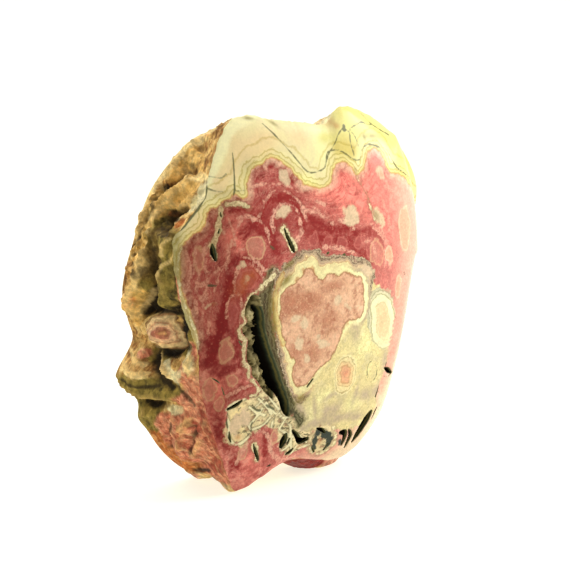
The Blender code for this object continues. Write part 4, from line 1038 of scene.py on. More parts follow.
def finished_mesh(bm, name):
    """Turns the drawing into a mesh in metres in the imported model's frame, with its fields."""
    bmesh.ops.recalc_face_normals(bm, faces=bm.faces)
    bm.verts.index_update()
    bm.faces.sort(key=corner_key)  # else their order differs from run to run
    bmesh.ops.translate(bm, verts=bm.verts, vec=-Vector(ORIGIN))
    bmesh.ops.scale(bm, verts=bm.verts, vec=Vector((MM, MM, MM)))
    mesh = bpy.data.meshes.new(name)
    bm.to_mesh(mesh)
    bm.free()
    places = np.array([vert.co for vert in mesh.vertices]) / MM + ORIGIN
    for field, values in stone_fields(places).items():
        layer = mesh.attributes.new(field, "FLOAT", "POINT")
        layer.data.foreach_set("value", np.asarray(values, np.float32))
    mesh.shade_smooth()
    mesh.set_sharp_from_angle(angle=SHARP_ANGLE)
    return mesh


# ---------------------------------------------------------------- material helpers
class Paint:
    """Adds nodes to one material's tree, each by a short call that returns its output."""

    def __init__(self, name, palette):
        self.material = bpy.data.materials.new(name)
        self.material.use_nodes = True
        self.tree = self.material.node_tree
        self.shader = self.tree.nodes["Principled BSDF"]
        self.palette = palette
        coordinates = self.tree.nodes.new("ShaderNodeTexCoord").outputs["Object"]
        self.place = self.add("ShaderNodeMapping", {
            "Vector": coordinates, "Location": ORIGIN, "Scale": (1.0 / MM,) * 3})

    def add(self, kind, values, output=0, **settings):
        node = self.tree.nodes.new(kind)
        for name, value in settings.items():
            setattr(node, name, value)
        for socket, value in values.items():
            self.feed(node.inputs[socket], value)
        return node.outputs[output]

    def feed(self, socket, value):
        if isinstance(value, bpy.types.NodeSocket):
            self.tree.links.new(value, socket)
        else:
            socket.default_value = value

    def colour(self, value):
        """A palette colour by its name, a colour from its six digits, or the value itself."""
        if not isinstance(value, str):
            return value
        return tone(value) if value.startswith("#") else self.palette[value]

    def field(self, name):
        return self.add("ShaderNodeAttribute", {}, "Fac", attribute_name=name)

    def maths(self, operation, a, b=0.0, c=0.0):
        return self.add("ShaderNodeMath", {0: a, 1: b, 2: c}, operation=operation)

    def times(self, a, b):
        return self.maths("MULTIPLY", a, b)

    def less(self, a, b):
        return self.maths("SUBTRACT", a, b)

    def gap(self, a, b):
        """How far apart two values are."""
        return self.maths("ABSOLUTE", self.less(a, b))

    def span(self, value, low, high, to_low=0.0, to_high=1.0):
        """The value's place between low and high, eased, from to_low to to_high."""
        return self.add("ShaderNodeMapRange", {
            "Value": value, "From Min": low, "From Max": high, "To Min": to_low, "To Max": to_high,
        }, interpolation_type="SMOOTHSTEP")

    def mix(self, factor, below, above, blend="MIX"):
        return self.add("ShaderNodeMix", {
            0: factor, 6: self.colour(below), 7: self.colour(above),
        }, 2, data_type="RGBA", blend_type=blend)

    def ramp(self, value, stops):
        """A colour ramp with stops at (place, colour)."""
        colour = self.add("ShaderNodeValToRGB", {"Fac": value})
        elements = colour.node.color_ramp.elements
        while len(elements) < len(stops):
            elements.new(0.5)
        for element, (place, shade) in zip(elements, stops):
            element.position = place
            element.color = self.colour(shade)
        return colour

    def scale_ramp(self, value, low, high, stops):
        """A colour ramp whose stops are given in the value's own unit, between low and high."""
        share = self.maths("DIVIDE", self.less(value, low), high - low)
        return self.ramp(share, [((place - low) / (high - low), shade) for place, shade in stops])

    def noise(self, size, detail=3.0, vector=None, roughness=0.55, stretch=None):
        """Soft noise about 0.5, for a size in millimetres."""
        vector = self.place if vector is None else vector
        if stretch is not None:
            vector = self.add("ShaderNodeMapping", {"Vector": vector, "Scale": stretch})
        return self.add("ShaderNodeTexNoise", {
            "Vector": vector, "Scale": 1.0 / size, "Detail": detail, "Roughness": roughness})

    def cells(self, size, feature, vector):
        """Rounded or angular cells of a size in millimetres."""
        return self.add("ShaderNodeTexVoronoi", {
            "Vector": vector, "Scale": 1.0 / size}, "Distance", feature=feature)

    def bump(self, height, strength, distance):
        normal = self.add("ShaderNodeBump", {"Height": height, "Strength": strength, "Distance": distance})
        self.feed(self.shader.inputs["Normal"], normal)


class Bands(Paint):
    """Paint for the surfaces that show the growth bands, with the wanderings that all of them share."""

    def __init__(self, name, palette):
        super().__init__(name, palette)
        self.x = self.add("ShaderNodeSeparateXYZ", {"Vector": self.place}, "X")
        self.z = self.add("ShaderNodeSeparateXYZ", {"Vector": self.place}, "Z")
        self.broad = self.less(self.noise(3.2, 2.0), 0.5)
        self.small = self.less(self.noise(0.8, 4.0, roughness=0.7), 0.5)
        shift = self.add("ShaderNodeTexNoise", {"Vector": self.place, "Scale": 0.9, "Detail": 3.0}, "Color")
        self.bent = self.add("ShaderNodeVectorMath", {0: self.place, 1: shift}, 0)
        self.scallops = self.less(self.cells(1.5, "SMOOTH_F1", self.bent), 0.40)
        wander = self.maths("MULTIPLY_ADD", self.small, 2.4, self.times(self.broad, 1.6))
        self.wander = self.maths("MULTIPLY_ADD", self.scallops, 1.2, wander)
        self.speck = self.noise(0.42, 3.0, roughness=0.7)
        self.cloud = self.noise(1.5, 4.0, self.bent, 0.65)
        self.threads = self.span(self.cells(1.5, "DISTANCE_TO_EDGE", self.bent), 0.10, 0.0)
        self.veins = self.noise(2.6, 3.0, self.bent)
        self.edge = self.away("pink", 0.4)

    def away(self, name, wobble):
        """Distance to a drawn outline or line, made to wander by a share."""
        return self.maths("MULTIPLY_ADD", self.wander, wobble, self.field(name))

    def inside(self, name, wobble, soft):
        return self.span(self.away(name, wobble), soft, -soft)

    def drift(self, name, amount, below, above):
        """Lays a drift's colour on, broken up by the clouds."""
        uneven = self.times(self.field("drift_" + name), self.span(self.cloud, 0.3, 0.6, 0.55, 1.15))
        return self.mix(self.times(uneven, amount), below, above)

    def ringed(self, name, wobble, below, above, rim):
        """A growth cut across: a cloudy fill with a pale outline and a darker line in it."""
        off = self.away(name, wobble)
        fill = self.mix(self.span(self.cloud, 0.35, 0.65, 0.1, 0.6), above, below)
        laid = self.mix(self.span(off, 0.30, -0.3), below, fill)
        ring = self.maths("ABSOLUTE", self.maths("ADD", off, 0.12))
        return self.mix(self.span(ring, 0.22, 0.05, 0.0, 0.35), laid, rim)

    def rose(self):
        """The pink body: fine bands that follow the growth, clouds, and rounded lumps cut across."""
        mix, span, times = self.mix, self.span, self.times
        away, drift, ringed = self.away, self.drift, self.ringed
        growth = self.maths("MULTIPLY_ADD", self.broad, 2.4, self.field("growth"))
        along = self.add("ShaderNodeCombineXYZ", {
            "X": growth, "Y": times(self.x, 0.30), "Z": times(self.z, 0.30)})
        bands = self.noise(0.9, 4.0, along, 0.62)
        blend = self.maths("MULTIPLY_ADD", self.cloud, 0.55, times(bands, 0.45))
        colour = self.ramp(blend, [(0.36, "rose_dark"), (0.46, "rose"), (0.53, "rose"), (0.64, "rose_light")])
        colour = mix(span(self.scallops, -0.10, -0.32, 0.0, 0.45), colour, "rose_light")
        colour = mix(times(self.threads, 0.28), colour, "blush")
        filament = self.gap(bands, 0.5)
        colour = mix(span(filament, 0.022, 0.002, 0.0, 0.55), colour, "#e2a48e")
        coral = mix(span(self.cloud, 0.52, 0.62, 0.0, 0.5), "coral", "#f4a08e")
        coral = mix(span(bands, 0.48, 0.38, 0.0, 0.6), coral, "#ce544e")
        colour = drift("coral", 0.85, colour, coral)
        colour = drift("wine", 0.75, colour, "blood")
        soft = self.ramp(self.cloud, [(0.40, "#c45c54"), (0.5, "#de8274"), (0.6, "#e69e8a")])
        colour = drift("soft", 0.85, colour, soft)
        deep = span(away("deep", 1.0), 0.8, -0.5)
        streak = span(blend, 0.64, 0.46, 0.5, 1.0)
        colour = mix(times(deep, streak), colour, "blood")
        colour = mix(span(away("dusk", 0.9), 0.7, -0.4), colour, "dusk")
        colour = ringed("beads", 0.25, colour, "rose", "#d48072")
        colour = ringed("blush", 0.35, colour, "blush", "peach")
        rosy = times(span(away("rosy", 0.55), 0.26, -0.10), span(self.speck, 0.36, 0.56, 0.3, 0.95))
        colour = mix(rosy, colour, "#e4aa92")
        colour = mix(span(self.speck, 0.60, 0.72, 0.0, 0.45), colour, "blush")
        return colour

    def painted_light_and_pale_lumps(self, colour):
        """Painted light: the pink paled towards the right and washed out at the right edge, with two or three
        pale lumps of the stone's own in it.
        """
        mix, span, times, away = self.mix, self.span, self.times, self.away
        rise = self.less(self.z, 40.0)
        right = self.maths("MULTIPLY_ADD", times(rise, rise), 0.017, self.x)
        right = self.maths("MULTIPLY_ADD", self.wander, 0.6, right)
        # Painted light, growing towards the right
        colour = mix(span(right, 12.0, 21.0, 0.0, 0.4), colour, "#e48c7e")
        colour = mix(span(right, 20.5, 27.0, 0.0, 0.8), colour, "#ecb098")
        off = away("pale", 0.3)
        colour = mix(span(off, 0.3, -0.4, 0.0, 0.85), colour, "#e6aa8a")
        ring = self.maths("ABSOLUTE", self.maths("ADD", off, 0.1))
        colour = mix(span(ring, 0.25, 0.05, 0.0, 0.5), colour, "#f0ceaa")
        # Painted highlight: the right edge washes out to near white
        colour = mix(span(right, 29.5, 33.5, 0.0, 0.85), colour, "#f0d6b0")
        return colour

    def cream_top(self, colour):
        """The cream above the pink, with fine tan lines along its lower edge."""
        mix, span, times, away = self.mix, self.span, self.times, self.away
        cream = mix(span(self.veins, 0.42, 0.62, 0.0, 0.4), "cream", "lemon")
        for name, amount in {"peach": 0.9, "lemon": 0.9, "butter": 0.95, "ash": 0.35, "honey": 0.8}.items():
            cream = mix(times(self.field("drift_" + name), amount), cream, name)
        cream = mix(span(away("glow", 0.3), 0.5, -0.4, 0.0, 0.9), cream, "#fff6c0")
        lines = self.scale_ramp(self.edge, 0.0, 5.0, [
            (0.0, "#e2b096"), (0.16, "#e0d0a0"), (0.30, "#fffae6"),
            (0.52, "#f0e8c8"), (0.66, "#d2c898"), (0.80, "#fcfaf0"),
            (1.20, "#fcfaf0"), (1.38, "#d6cea0"), (1.55, "#fffffa"),
            (2.9, "#ffffff"), (3.2, "#e8e2c8"), (3.5, "#ffffff")])
        cream = mix(1.0, cream, lines, "MULTIPLY")
        haze = times(span(self.edge, -1.6, -0.1, 0.0, 0.85), span(self.cloud, 0.36, 0.58, 0.2, 1.0))
        colour = mix(haze, colour, "#eec4a4")
        colour = mix(span(self.edge, -0.32, 0.12), colour, cream)
        return colour

    def cream_low(self, colour):
        """The lower cream, with the growths cut across in it."""
        mix, span, times = self.mix, self.span, self.times
        away, inside, drift = self.away, self.inside, self.drift
        low = drift("lemon", 0.8, "#e8d69a", "lemon")
        low = mix(span(self.veins, 0.50, 0.66, 0.0, 0.4), low, "#beb090")
        low = mix(times(self.threads, 0.22), low, "#b8aa6c")
        wavy = self.gap(self.cloud, 0.5)
        low = mix(span(wavy, 0.02, 0.004, 0.0, 0.6), low, "#c6b074")
        low = drift("ash", 0.8, low, "#baa48a")
        low = drift("peach", 0.7, low, "peach")
        low = drift("olive", 0.6, low, "olive")
        oval = away("ring", 0.35)
        rings = self.scale_ramp(oval, -2.2, 1.6, [
            (-2.0, "#e8c89a"), (-1.5, "#eed4a6"), (-1.35, "#cebe8c"),
            (-1.2, "#eee6b8"), (-0.2, "#f2ecbe"), (0.0, "#a6a076"),
            (0.2, "#d6cea8"), (0.5, "#d8d0ac"), (0.65, "#9c9674"),
            (0.85, "#cec6a0"), (1.3, "#beb492")])
        reach_up = span(self.z, 23.0, 27.0, 0.1, 1.3)
        low = mix(span(self.less(oval, reach_up), 0.15, -0.1, 0.0, 0.9), low, rings)
        low = mix(times(span(oval, 0.6, -0.8), span(self.z, 25.0, 21.0, 0.0, 0.7)), low, "cream")
        oval = away("blush", 0.3)
        rings = self.scale_ramp(oval, -1.4, 1.0, [
            (-1.5, "#e29c78"), (-0.8, "#e8b288"), (-0.5, "#d09e6c"),
            (-0.38, "#e8c692"), (-0.05, "#eace98"), (0.02, "#be9660"),
            (0.14, "#eed8a0"), (0.5, "#ecdaa4"), (0.6, "#bea66e"), (0.72, "cream")])
        low = mix(span(oval, 1.0, 0.7), low, rings)
        colour = mix(inside("lower", 0.8, 0.3), colour, low)
        return colour

    def boxwork(self, colour):
        """The pale boxwork of thin plates at the lower left."""
        mix, span, times = self.mix, self.span, self.times
        away, inside, drift = self.away, self.inside, self.drift
        slanted = self.add("ShaderNodeMapping", {
            "Vector": self.bent, "Rotation": (0.0, math.radians(38.0), 0.0), "Scale": (0.55, 1.0, 1.3)})
        plates = span(self.cells(1.5, "DISTANCE_TO_EDGE", slanted), 0.05, 0.30)
        box = mix(plates, "#e2d09e", "#a88464")
        box = mix(span(self.cloud, 0.44, 0.56), box, "#ead6a4")
        box = drift("peach", 1.0, box, "#f6dea0")
        gaps = span(self.noise(0.9, 2.0, slanted), 0.60, 0.66, 0.0, 0.8)
        box = mix(gaps, box, "#544e36")
        plates = away("plates", 0.12)
        shaded = times(span(plates, 0.5, 0.05), span(self.speck, 0.42, 0.56, 0.15, 0.8))
        box = mix(shaded, box, "#6e6246")
        box = mix(span(plates, 0.10, -0.04), box, "#ece2b6")
        colour = mix(inside("box", 1.0, 0.3), colour, box)
        return colour

    def cavity_wall(self, colour):
        """The dark layers beside the open cavity."""
        mix, span, away = self.mix, self.span, self.away
        wall = self.scale_ramp(away("slate", 0.5), -1.0, 1.0, [
            (-0.9, "#3c3a24"), (-0.6, "#706c4a"), (-0.4, "#343220"), (-0.1, "#605c3c"),
            (0.15, "#867c56"), (0.35, "#48442c"), (0.6, "#a09064")])
        colour = mix(span(away("slate", 0.8), 0.8, -0.2, 0.0, 0.95), colour, wall)
        return colour

    def rind(self, colour):
        """The round nodule's thin cream bands and its mottled grey outside."""
        mix, span, times, away, drift = self.mix, self.span, self.times, self.away, self.drift
        heart_off = self.maths("MAXIMUM", away("core", 0.35), 0.0)
        rind_off = self.maths("MAXIMUM", times(away("nodule", 0.6), -1.0), 0.0)
        both = self.maths("ADD", self.maths("ADD", heart_off, rind_off), 0.05)
        across = self.maths("DIVIDE", heart_off, both)
        across = self.maths("MULTIPLY_ADD", self.scallops, 0.35, across)
        rind = self.ramp(across, [
            (0.0, "#d6b07c"), (0.06, "#e6d69e"), (0.2, "#f0e4aa"), (0.4, "#e2d09a"),
            (0.5, "#eee0a6"), (0.55, "#c89e70"), (0.60, "#dec498"),
            (0.68, "#b6947a"), (0.72, "#ceb490"), (0.82, "#9e826a"),
            (0.90, "#7c6852"), (0.95, "#d0bc96"), (1.0, "#a07c68")])
        crumbs = times(span(across, 0.66, 0.84), span(self.speck, 0.54, 0.62))
        rind = mix(crumbs, rind, "#58503e")
        crumbs = times(span(across, 0.66, 0.90), span(self.speck, 0.45, 0.38))
        rind = mix(crumbs, rind, "#dcc8a6")
        rind = drift("olive", 0.6, rind, "olive")
        gold = away("gold", 0.3)
        rind = mix(span(gold, 0.4, -0.4, 0.0, 0.55), rind, "#e2c670")
        rind = mix(span(self.maths("ABSOLUTE", gold), 0.14, 0.0, 0.0, 0.6), rind, "#c4823e")
        shown = span(away("nodule", 0.6), 0.25, 0.0)
        beyond = self.maths("MULTIPLY_ADD", self.x, 0.87, times(self.z, -0.49))
        beyond = times(span(beyond, -6.2, -5.2), span(self.less(self.z, self.x), 15.4, 14.4))
        colour = mix(times(shown, self.less(1.0, beyond)), colour, rind)
        return colour

    def heart(self, colour):
        """The nodule's salmon heart, with its brim on the right."""
        mix, span, times = self.mix, self.span, self.times
        away, inside, drift = self.away, self.inside, self.drift
        heart = mix(span(self.cloud, 0.34, 0.54, 0.3, 1.0), "flush", "salmon")
        heart = mix(span(self.scallops, -0.05, -0.3, 0.0, 0.5), heart, "#f0cca8")
        heart = drift("flush", 0.7, heart, "flush")
        heart = mix(times(self.threads, 0.12), heart, "peach")
        heart = drift("rust", 0.25, heart, "rust")
        heart = mix(span(self.speck, 0.58, 0.72, 0.0, 0.7), heart, "chalk")
        brim = self.scale_ramp(away("core", 0.5), 0.0, 2.0, [
            (0.7, "#faf0b8"), (0.95, "#d4c496"), (1.2, "#baa488"), (1.5, "#ceba96")])
        right = times(span(away("core", 0.5), 1.8, 1.3), span(self.x, 9.5, 13.0))
        colour = mix(times(right, span(self.z, 24.5, 27.0)), colour, brim)
        colour = mix(inside("core", 0.4, 0.12), colour, heart)
        outline = self.maths("ABSOLUTE", away("core", 0.4))
        colour = mix(span(outline, 0.24, 0.04, 0.0, 0.75), colour, "#a4704a")
        return colour

    def marks(self, colour):
        """Specks, pale borders and the thin lines, over everything, and painted shade on the face's left
        part.
        """
        mix, span, times = self.mix, self.span, self.times
        away, inside, drift = self.away, self.inside, self.drift
        colour = mix(span(away("chalk", 0.5), 0.35, -0.2, 0.0, 0.95), colour, "chalk")
        ribbon = away("cream", 0.5)
        colour = mix(span(ribbon, 0.50, 0.16, 0.0, 0.4), colour, "#967054")
        shade = mix(span(self.speck, 0.40, 0.60), "#cebc8c", "#eee0b2")
        colour = mix(span(ribbon, 0.06, -0.12), colour, shade)
        colour = drift("olive", 0.62, colour, "olive")
        colour = drift("rust", 0.5, colour, "rust")
        colour = mix(inside("sulfide", 0.6, 0.2), colour, "sulfide")
        colour = mix(span(away("green", 0.12), 0.12, -0.04, 0.0, 0.85), colour, "green")
        grain = times(span(self.speck, 0.3, 0.7, 0.86, 1.14), span(self.cloud, 0.3, 0.7, 0.92, 1.08))
        calm = span(self.edge, -0.2, 0.4, 0.85, 0.3)
        colour = mix(calm, colour, mix(1.0, colour, grain, "MULTIPLY"))
        # Painted shade: the pink darkens towards the face's left, less in the boxwork and near the floor
        left = self.maths("MULTIPLY_ADD", self.small, 8.0, self.x)
        left_painted_shade = times(span(left, -6.0, -17.0, 0.0, 0.75), span(self.z, 4.0, 12.0))
        left_painted_shade = times(left_painted_shade, span(self.edge, 0.2, -0.4))
        left_painted_shade = times(left_painted_shade, span(away("box", 0.6), -0.6, 0.4, 0.2, 1.0))
        return mix(left_painted_shade, colour, mix(1.0, colour, "#bea390", "MULTIPLY"))

    def bands(self):
        """The colour of the whole face, each part laid over the ones before it."""
        colour = self.rose()
        for lay in (self.painted_light_and_pale_lumps, self.cream_top, self.cream_low, self.boxwork, self.cavity_wall,
                    self.rind, self.heart, self.marks):
            colour = lay(colour)
        return colour


def polished_material(palette, settings):
    """The polished face, with painted shade that darkens the insides of its openings."""
    paint = Bands("polished rhodochrosite", palette)
    colour = paint.bands()
    depth = paint.field("depth")
    # Painted shade: the openings' walls keep their olive and green tones but darken with depth, to near black
    shaded_walls = paint.scale_ramp(paint.maths("MULTIPLY_ADD", paint.noise(0.9, 3.0), 0.6, depth), 0.0, 3.0, [
        (0.3, "#b0a476"), (0.7, "#5c6248"), (1.0, "#424c38"), (1.3, "#787040"),
        (1.6, "#686238"), (1.85, "#363e2e"), (2.3, "#24261c"), (2.8, "soot")])
    colour = paint.mix(paint.span(depth, 0.06, 0.35), colour, shaded_walls)
    # Painted shade on the lumps in the cavity: darker the deeper they lie
    lump = paint.scale_ramp(paint.maths("MULTIPLY_ADD", paint.noise(0.5, 4.0), 1.2, depth), 0.0, 3.0, [
        (0.6, "#c4b688"), (1.2, "lump"), (1.9, "#6e6240"), (2.6, "#2c261a")])
    colour = paint.mix(paint.field("lump"), colour, lump)
    paint.feed(paint.shader.inputs["Base Color"], colour)
    dull = paint.span(depth, 0.05, 0.4)
    polish = settings.polish_roughness
    smear = paint.span(paint.noise(4.0, 3.0), 0.35, 0.7, polish, polish * 1.7)
    paint.feed(paint.shader.inputs["Roughness"], paint.add("ShaderNodeMix", {0: dull, 2: smear, 3: 0.8}))
    paint.shader.inputs["Specular IOR Level"].default_value = 0.08
    paint.bump(paint.noise(0.35, 2.0), 0.12, 0.00003)
    return paint.material


def sawn_material(palette, settings):
    """The matte saw cut at the back, with the blade's marks."""
    paint = Bands("sawn rhodochrosite", palette)
    colour = paint.mix(0.28, paint.bands(), "#d6c4b0")
    arcs = paint.add("ShaderNodeTexWave", {
        "Vector": paint.place, "Scale": 0.32, "Distortion": 1.6, "Detail": 2.0, "Detail Scale": 0.3,
    }, "Fac", bands_direction="Z")
    colour = paint.mix(paint.span(arcs, 0.55, 0.95, 0.0, 0.16), colour, "#f0e6d6")
    stain = paint.span(paint.noise(7.0, 4.0), 0.55, 0.75, 0.0, 0.35)
    colour = paint.mix(stain, colour, "sand")
    paint.feed(paint.shader.inputs["Base Color"], colour)
    paint.shader.inputs["Roughness"].default_value = settings.sawn_roughness
    paint.bump(paint.mix(0.5, arcs, paint.noise(0.3, 2.0)), 0.5, 0.00005)
    return paint.material


def crust_material(palette, settings):
    """The rough rim: sandy and olive crust on the left, knobbly stone elsewhere, with painted shade in its
    hollows and crevices and painted highlight on its crests.
    """
    paint = Paint("natural crust", palette)
    mix, span, ramp, times, field = paint.mix, paint.span, paint.ramp, paint.times, paint.field
    layers = paint.noise(1.8, 6.0, stretch=(0.5, 1.6, 0.6), roughness=0.7)
    patches = paint.noise(4.0, 4.0)
    grains = paint.noise(0.9, 4.0, roughness=0.62)
    jitter = paint.less(paint.noise(1.3, 4.0, roughness=0.62), 0.5)
    slanted = paint.add("ShaderNodeMapping", {
        "Vector": paint.place, "Rotation": (math.radians(-32.0), 0.0, 0.0), "Scale": (1.0, 0.7, 3.0),
    }, vector_type="TEXTURE")
    streaks = paint.noise(0.9, 5.0, slanted, 0.68)
    height = paint.add("ShaderNodeSeparateXYZ", {"Vector": paint.place}, "Z")
    sand = ramp(layers, [(0.32, "umber"), (0.43, "#966838"), (0.53, "sand"), (0.70, "straw")])
    knobs = ramp(patches, [(0.36, "sand"), (0.46, "peach"), (0.58, "blush"), (0.72, "rose")])
    creamy = ramp(patches, [(0.4, "sand"), (0.5, "peach"), (0.6, "cream")])
    knobs = mix(span(height, 44.0, 54.0), knobs, creamy)
    knobs = mix(span(layers, 0.5, 0.7, 0.0, 0.6), knobs, "cream")
    knobs = mix(span(layers, 0.44, 0.32, 0.0, 0.6), knobs, "umber")
    colour = mix(field("left"), knobs, sand)
    amounts = {"olive": 0.92, "ochre": 0.8, "umber": 0.55, "flesh": 0.9, "soot": 0.9}
    uneven = paint.maths("MULTIPLY_ADD", jitter, 1.6, span(layers, 0.30, 0.62, 0.75, 1.05))
    for name in ("olive", "ochre", "umber", "rust", "flesh", "brick", "straw", "quartz", "soot"):
        strength = times(field("tint_" + name), uneven)
        if name == "flesh":
            shade = ramp(streaks, [
                (0.34, "#964a36"), (0.44, "#be6c52"), (0.54, "#d28868"),
                (0.64, "#e2a87e"), (0.74, "#ecc292")])
        elif name == "olive":
            shade = ramp(layers, [
                (0.34, "#443e1e"), (0.46, "olive"), (0.58, "#947e38"), (0.70, "#b4984e")])
        else:
            shade = mix(span(layers, 0.46, 0.66, 0.0, 0.3), name, "straw")
        colour = mix(span(strength, 0.16, 0.5, 0.0, amounts.get(name, 0.85)), colour, shade)
    # Painted highlight: the rim's raised crests are lightened, more so higher up
    crest = paint.maths("MULTIPLY_ADD", jitter, 0.6, field("crest"))
    crest = times(span(crest, 0.32, -0.05, 0.0, 0.7), span(height, 10.0, 20.0, 0.25, 1.0))
    colour = mix(crest, colour, "#eecc86")
    # Painted shade in the rim's low places and painted highlight on its high ones, after its relief
    relief = field("relief")
    colour = mix(span(relief, -0.45, -1.7, 0.0, 0.75), colour, "umber")
    colour = mix(span(relief, 0.2, 1.0, 0.0, 0.35), colour, "#e8ba70")
    # Painted shade: the rim's narrow crevices are darkened nearly to black, less so near its top
    groove = paint.maths("MULTIPLY_ADD", jitter, 0.8, field("groove"))
    groove = times(span(groove, 0.45, -0.15), span(height, 42.0, 50.0, 0.92, 0.5))
    groove = times(groove, field("left"))
    colour = mix(groove, colour, "soot")
    # Painted shade along the rim's narrow seams
    seam = paint.maths("MULTIPLY_ADD", jitter, 0.6, field("seam"))
    seam = times(span(seam, 0.55, 0.08, 0.0, 0.8), field("left"))
    colour = mix(seam, colour, "#342816")
    # Painted highlight along the rim's raised ridges, more so higher up
    ridge = paint.maths("MULTIPLY_ADD", jitter, 0.4, field("ridge"))
    ridge = times(span(ridge, 0.42, 0.04, 0.0, 0.55), field("left"))
    ridge = times(ridge, span(height, 16.0, 26.0, 0.25, 1.0))
    colour = mix(ridge, colour, "#f4d08a")
    ring = paint.scale_ramp(paint.maths("MULTIPLY_ADD", jitter, 0.9, field("knob")), 0.0, 3.0, [
        (0.0, "#e2a468"), (0.3, "#aa5c48"), (0.8, "#be745e"), (0.95, "#deaa82"),
        (1.3, "#deb88a"), (1.5, "#b27a58"), (1.7, "#d6b07e"), (2.2, "#e6c88e"),
        (2.5, "#a0764c"), (2.8, "#584a2c")])
    knob_there = times(span(field("knob"), 3.0, 2.5), field("left"))
    colour = mix(times(knob_there, 0.85), colour, ring)
    colour = mix(span(field("lip"), 0.25, 0.5), colour, "#8a1c08")
    light = times(span(grains, 0.34, 0.66, 0.73, 1.27), span(jitter, -0.2, 0.2, 0.85, 1.15))
    colour = mix(1.0, colour, light, "MULTIPLY")
    paint.feed(paint.shader.inputs["Base Color"], colour)
    gloss = span(field("lip"), 0.3, 0.7, settings.crust_roughness, 0.3)
    paint.feed(paint.shader.inputs["Roughness"], gloss)
    paint.shader.inputs["Specular IOR Level"].default_value = 0.15
    paint.bump(mix(0.5, grains, layers), 0.9, 0.0005)
    return paint.material


# ---------------------------------------------------------------- settings and operators
class StoneSizes(bpy.types.PropertyGroup):
    face_cells: IntProperty(
        name="Face cells", description="Cells across the polished face", default=214, min=20)
    rim_rows: IntProperty(name="Rim rows", description="Rows of cells on the rim", default=44, min=4)
    back_cells: IntProperty(name="Back cells", description="Cells across the saw cut", default=64, min=10)
    polish_roughness: FloatProperty(
        name="Polish", description="Roughness of the polished face", default=0.16, subtype="FACTOR")
    sawn_roughness: FloatProperty(
        name="Sawn roughness", description="Roughness of the saw cut", default=0.62, subtype="FACTOR")
    crust_roughness: FloatProperty(
        name="Crust roughness", description="Roughness of the rim", default=0.72, subtype="FACTOR")


class StageSizes(bpy.types.PropertyGroup):
    floor_width: FloatProperty(name="Floor", description="Width of the floor", default=6.0, unit="LENGTH")
    azimuth: FloatProperty(
        name="Camera turn", description="How far left of the face the camera stands",
        default=math.radians(40.0), subtype="ANGLE")
    elevation: FloatProperty(
        name="Camera height", description="Angle of the camera above the floor",
        default=math.radians(12.0), subtype="ANGLE")
    distance: FloatProperty(
        name="Camera distance", description="From the stone's middle", default=0.4, unit="LENGTH")
    pixel_width: FloatProperty(
        name="Pixel width", description="Size at the stone of one of the picture's 575 pixels",
        default=0.0001675, precision=7, unit="LENGTH")


class StoneColours(bpy.types.PropertyGroup):
    __annotations__ = {
        name: FloatVectorProperty(
            name=name.replace("_", " ").capitalize(), description=description, subtype="COLOR",
            size=4, min=0.0, max=1.0, default=tone(digits))
        for name, (description, digits) in COLOURS.items()
    }


class STONE_OT_slice(bpy.types.Operator):
    """Model the stone and give its three surfaces their finish"""

    bl_idname = "stone.make_slice"
    bl_label = "Stone slice"

    def execute(self, context):
        sizes = context.scene.stone_sizes
        palette = {name: tuple(getattr(context.scene.stone_colours, name)) for name in COLOURS}
        bm = make_stone(sizes)
        open_mouths(bm)
        mesh = finished_mesh(bm, "stone_slice")
        lay_out_bake_map(mesh)
        stone = bpy.data.objects.new("stone_slice", mesh)
        context.scene.collection.objects.link(stone)
        for make in (polished_material, crust_material, sawn_material):
            mesh.materials.append(make(palette, sizes))
        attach(stone, "root")
        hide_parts(NODE)
        return {"FINISHED"}


AIM_SHIFT = (-3.10, 2.01)  # millimetres that the picture's middle lies right of and above the stone's
KEY = (68.0, 26.0, 0.21, 0.14, 0.6)  # azimuth, elevation, distance, width, power of the near lamp
LIGHTS = (
    # name, azimuth and elevation of the light, how wide it looks (degrees), strength
    ("fill", -104.0, 38.0, 40.0, 0.58),
    ("top", -152.0, 66.0, 50.0, 1.9),
)
WORLD_RAMP = {"From Min": -0.7, "From Max": 0.8, "To Min": 0.10, "To Max": 0.60}  # front to behind
FLOOR_COLOUR, FLOOR_GLOW, FLOOR_GLOW_STRENGTH = (0.45, 0.45, 0.42, 1.0), (1.0, 0.99, 0.84, 1.0), 0.75
KEY_AIM = (0.0, 0.0, 0.032)  # metres
CAMERA_AIM = (0.0, 0.0, 30.6)  # millimetres, as drawn
PICTURE_PIXELS = 575


def toward(azimuth, elevation):
    """The direction from the stone to something seen from the front at these angles."""
    level = math.cos(elevation)
    return Vector((math.sin(azimuth) * level, -math.cos(azimuth) * level, math.sin(elevation)))


def point_at(obj, place, target):
    obj.matrix_world = (place - target).to_track_quat("Z", "Y").to_matrix().to_4x4()
    obj.location = place


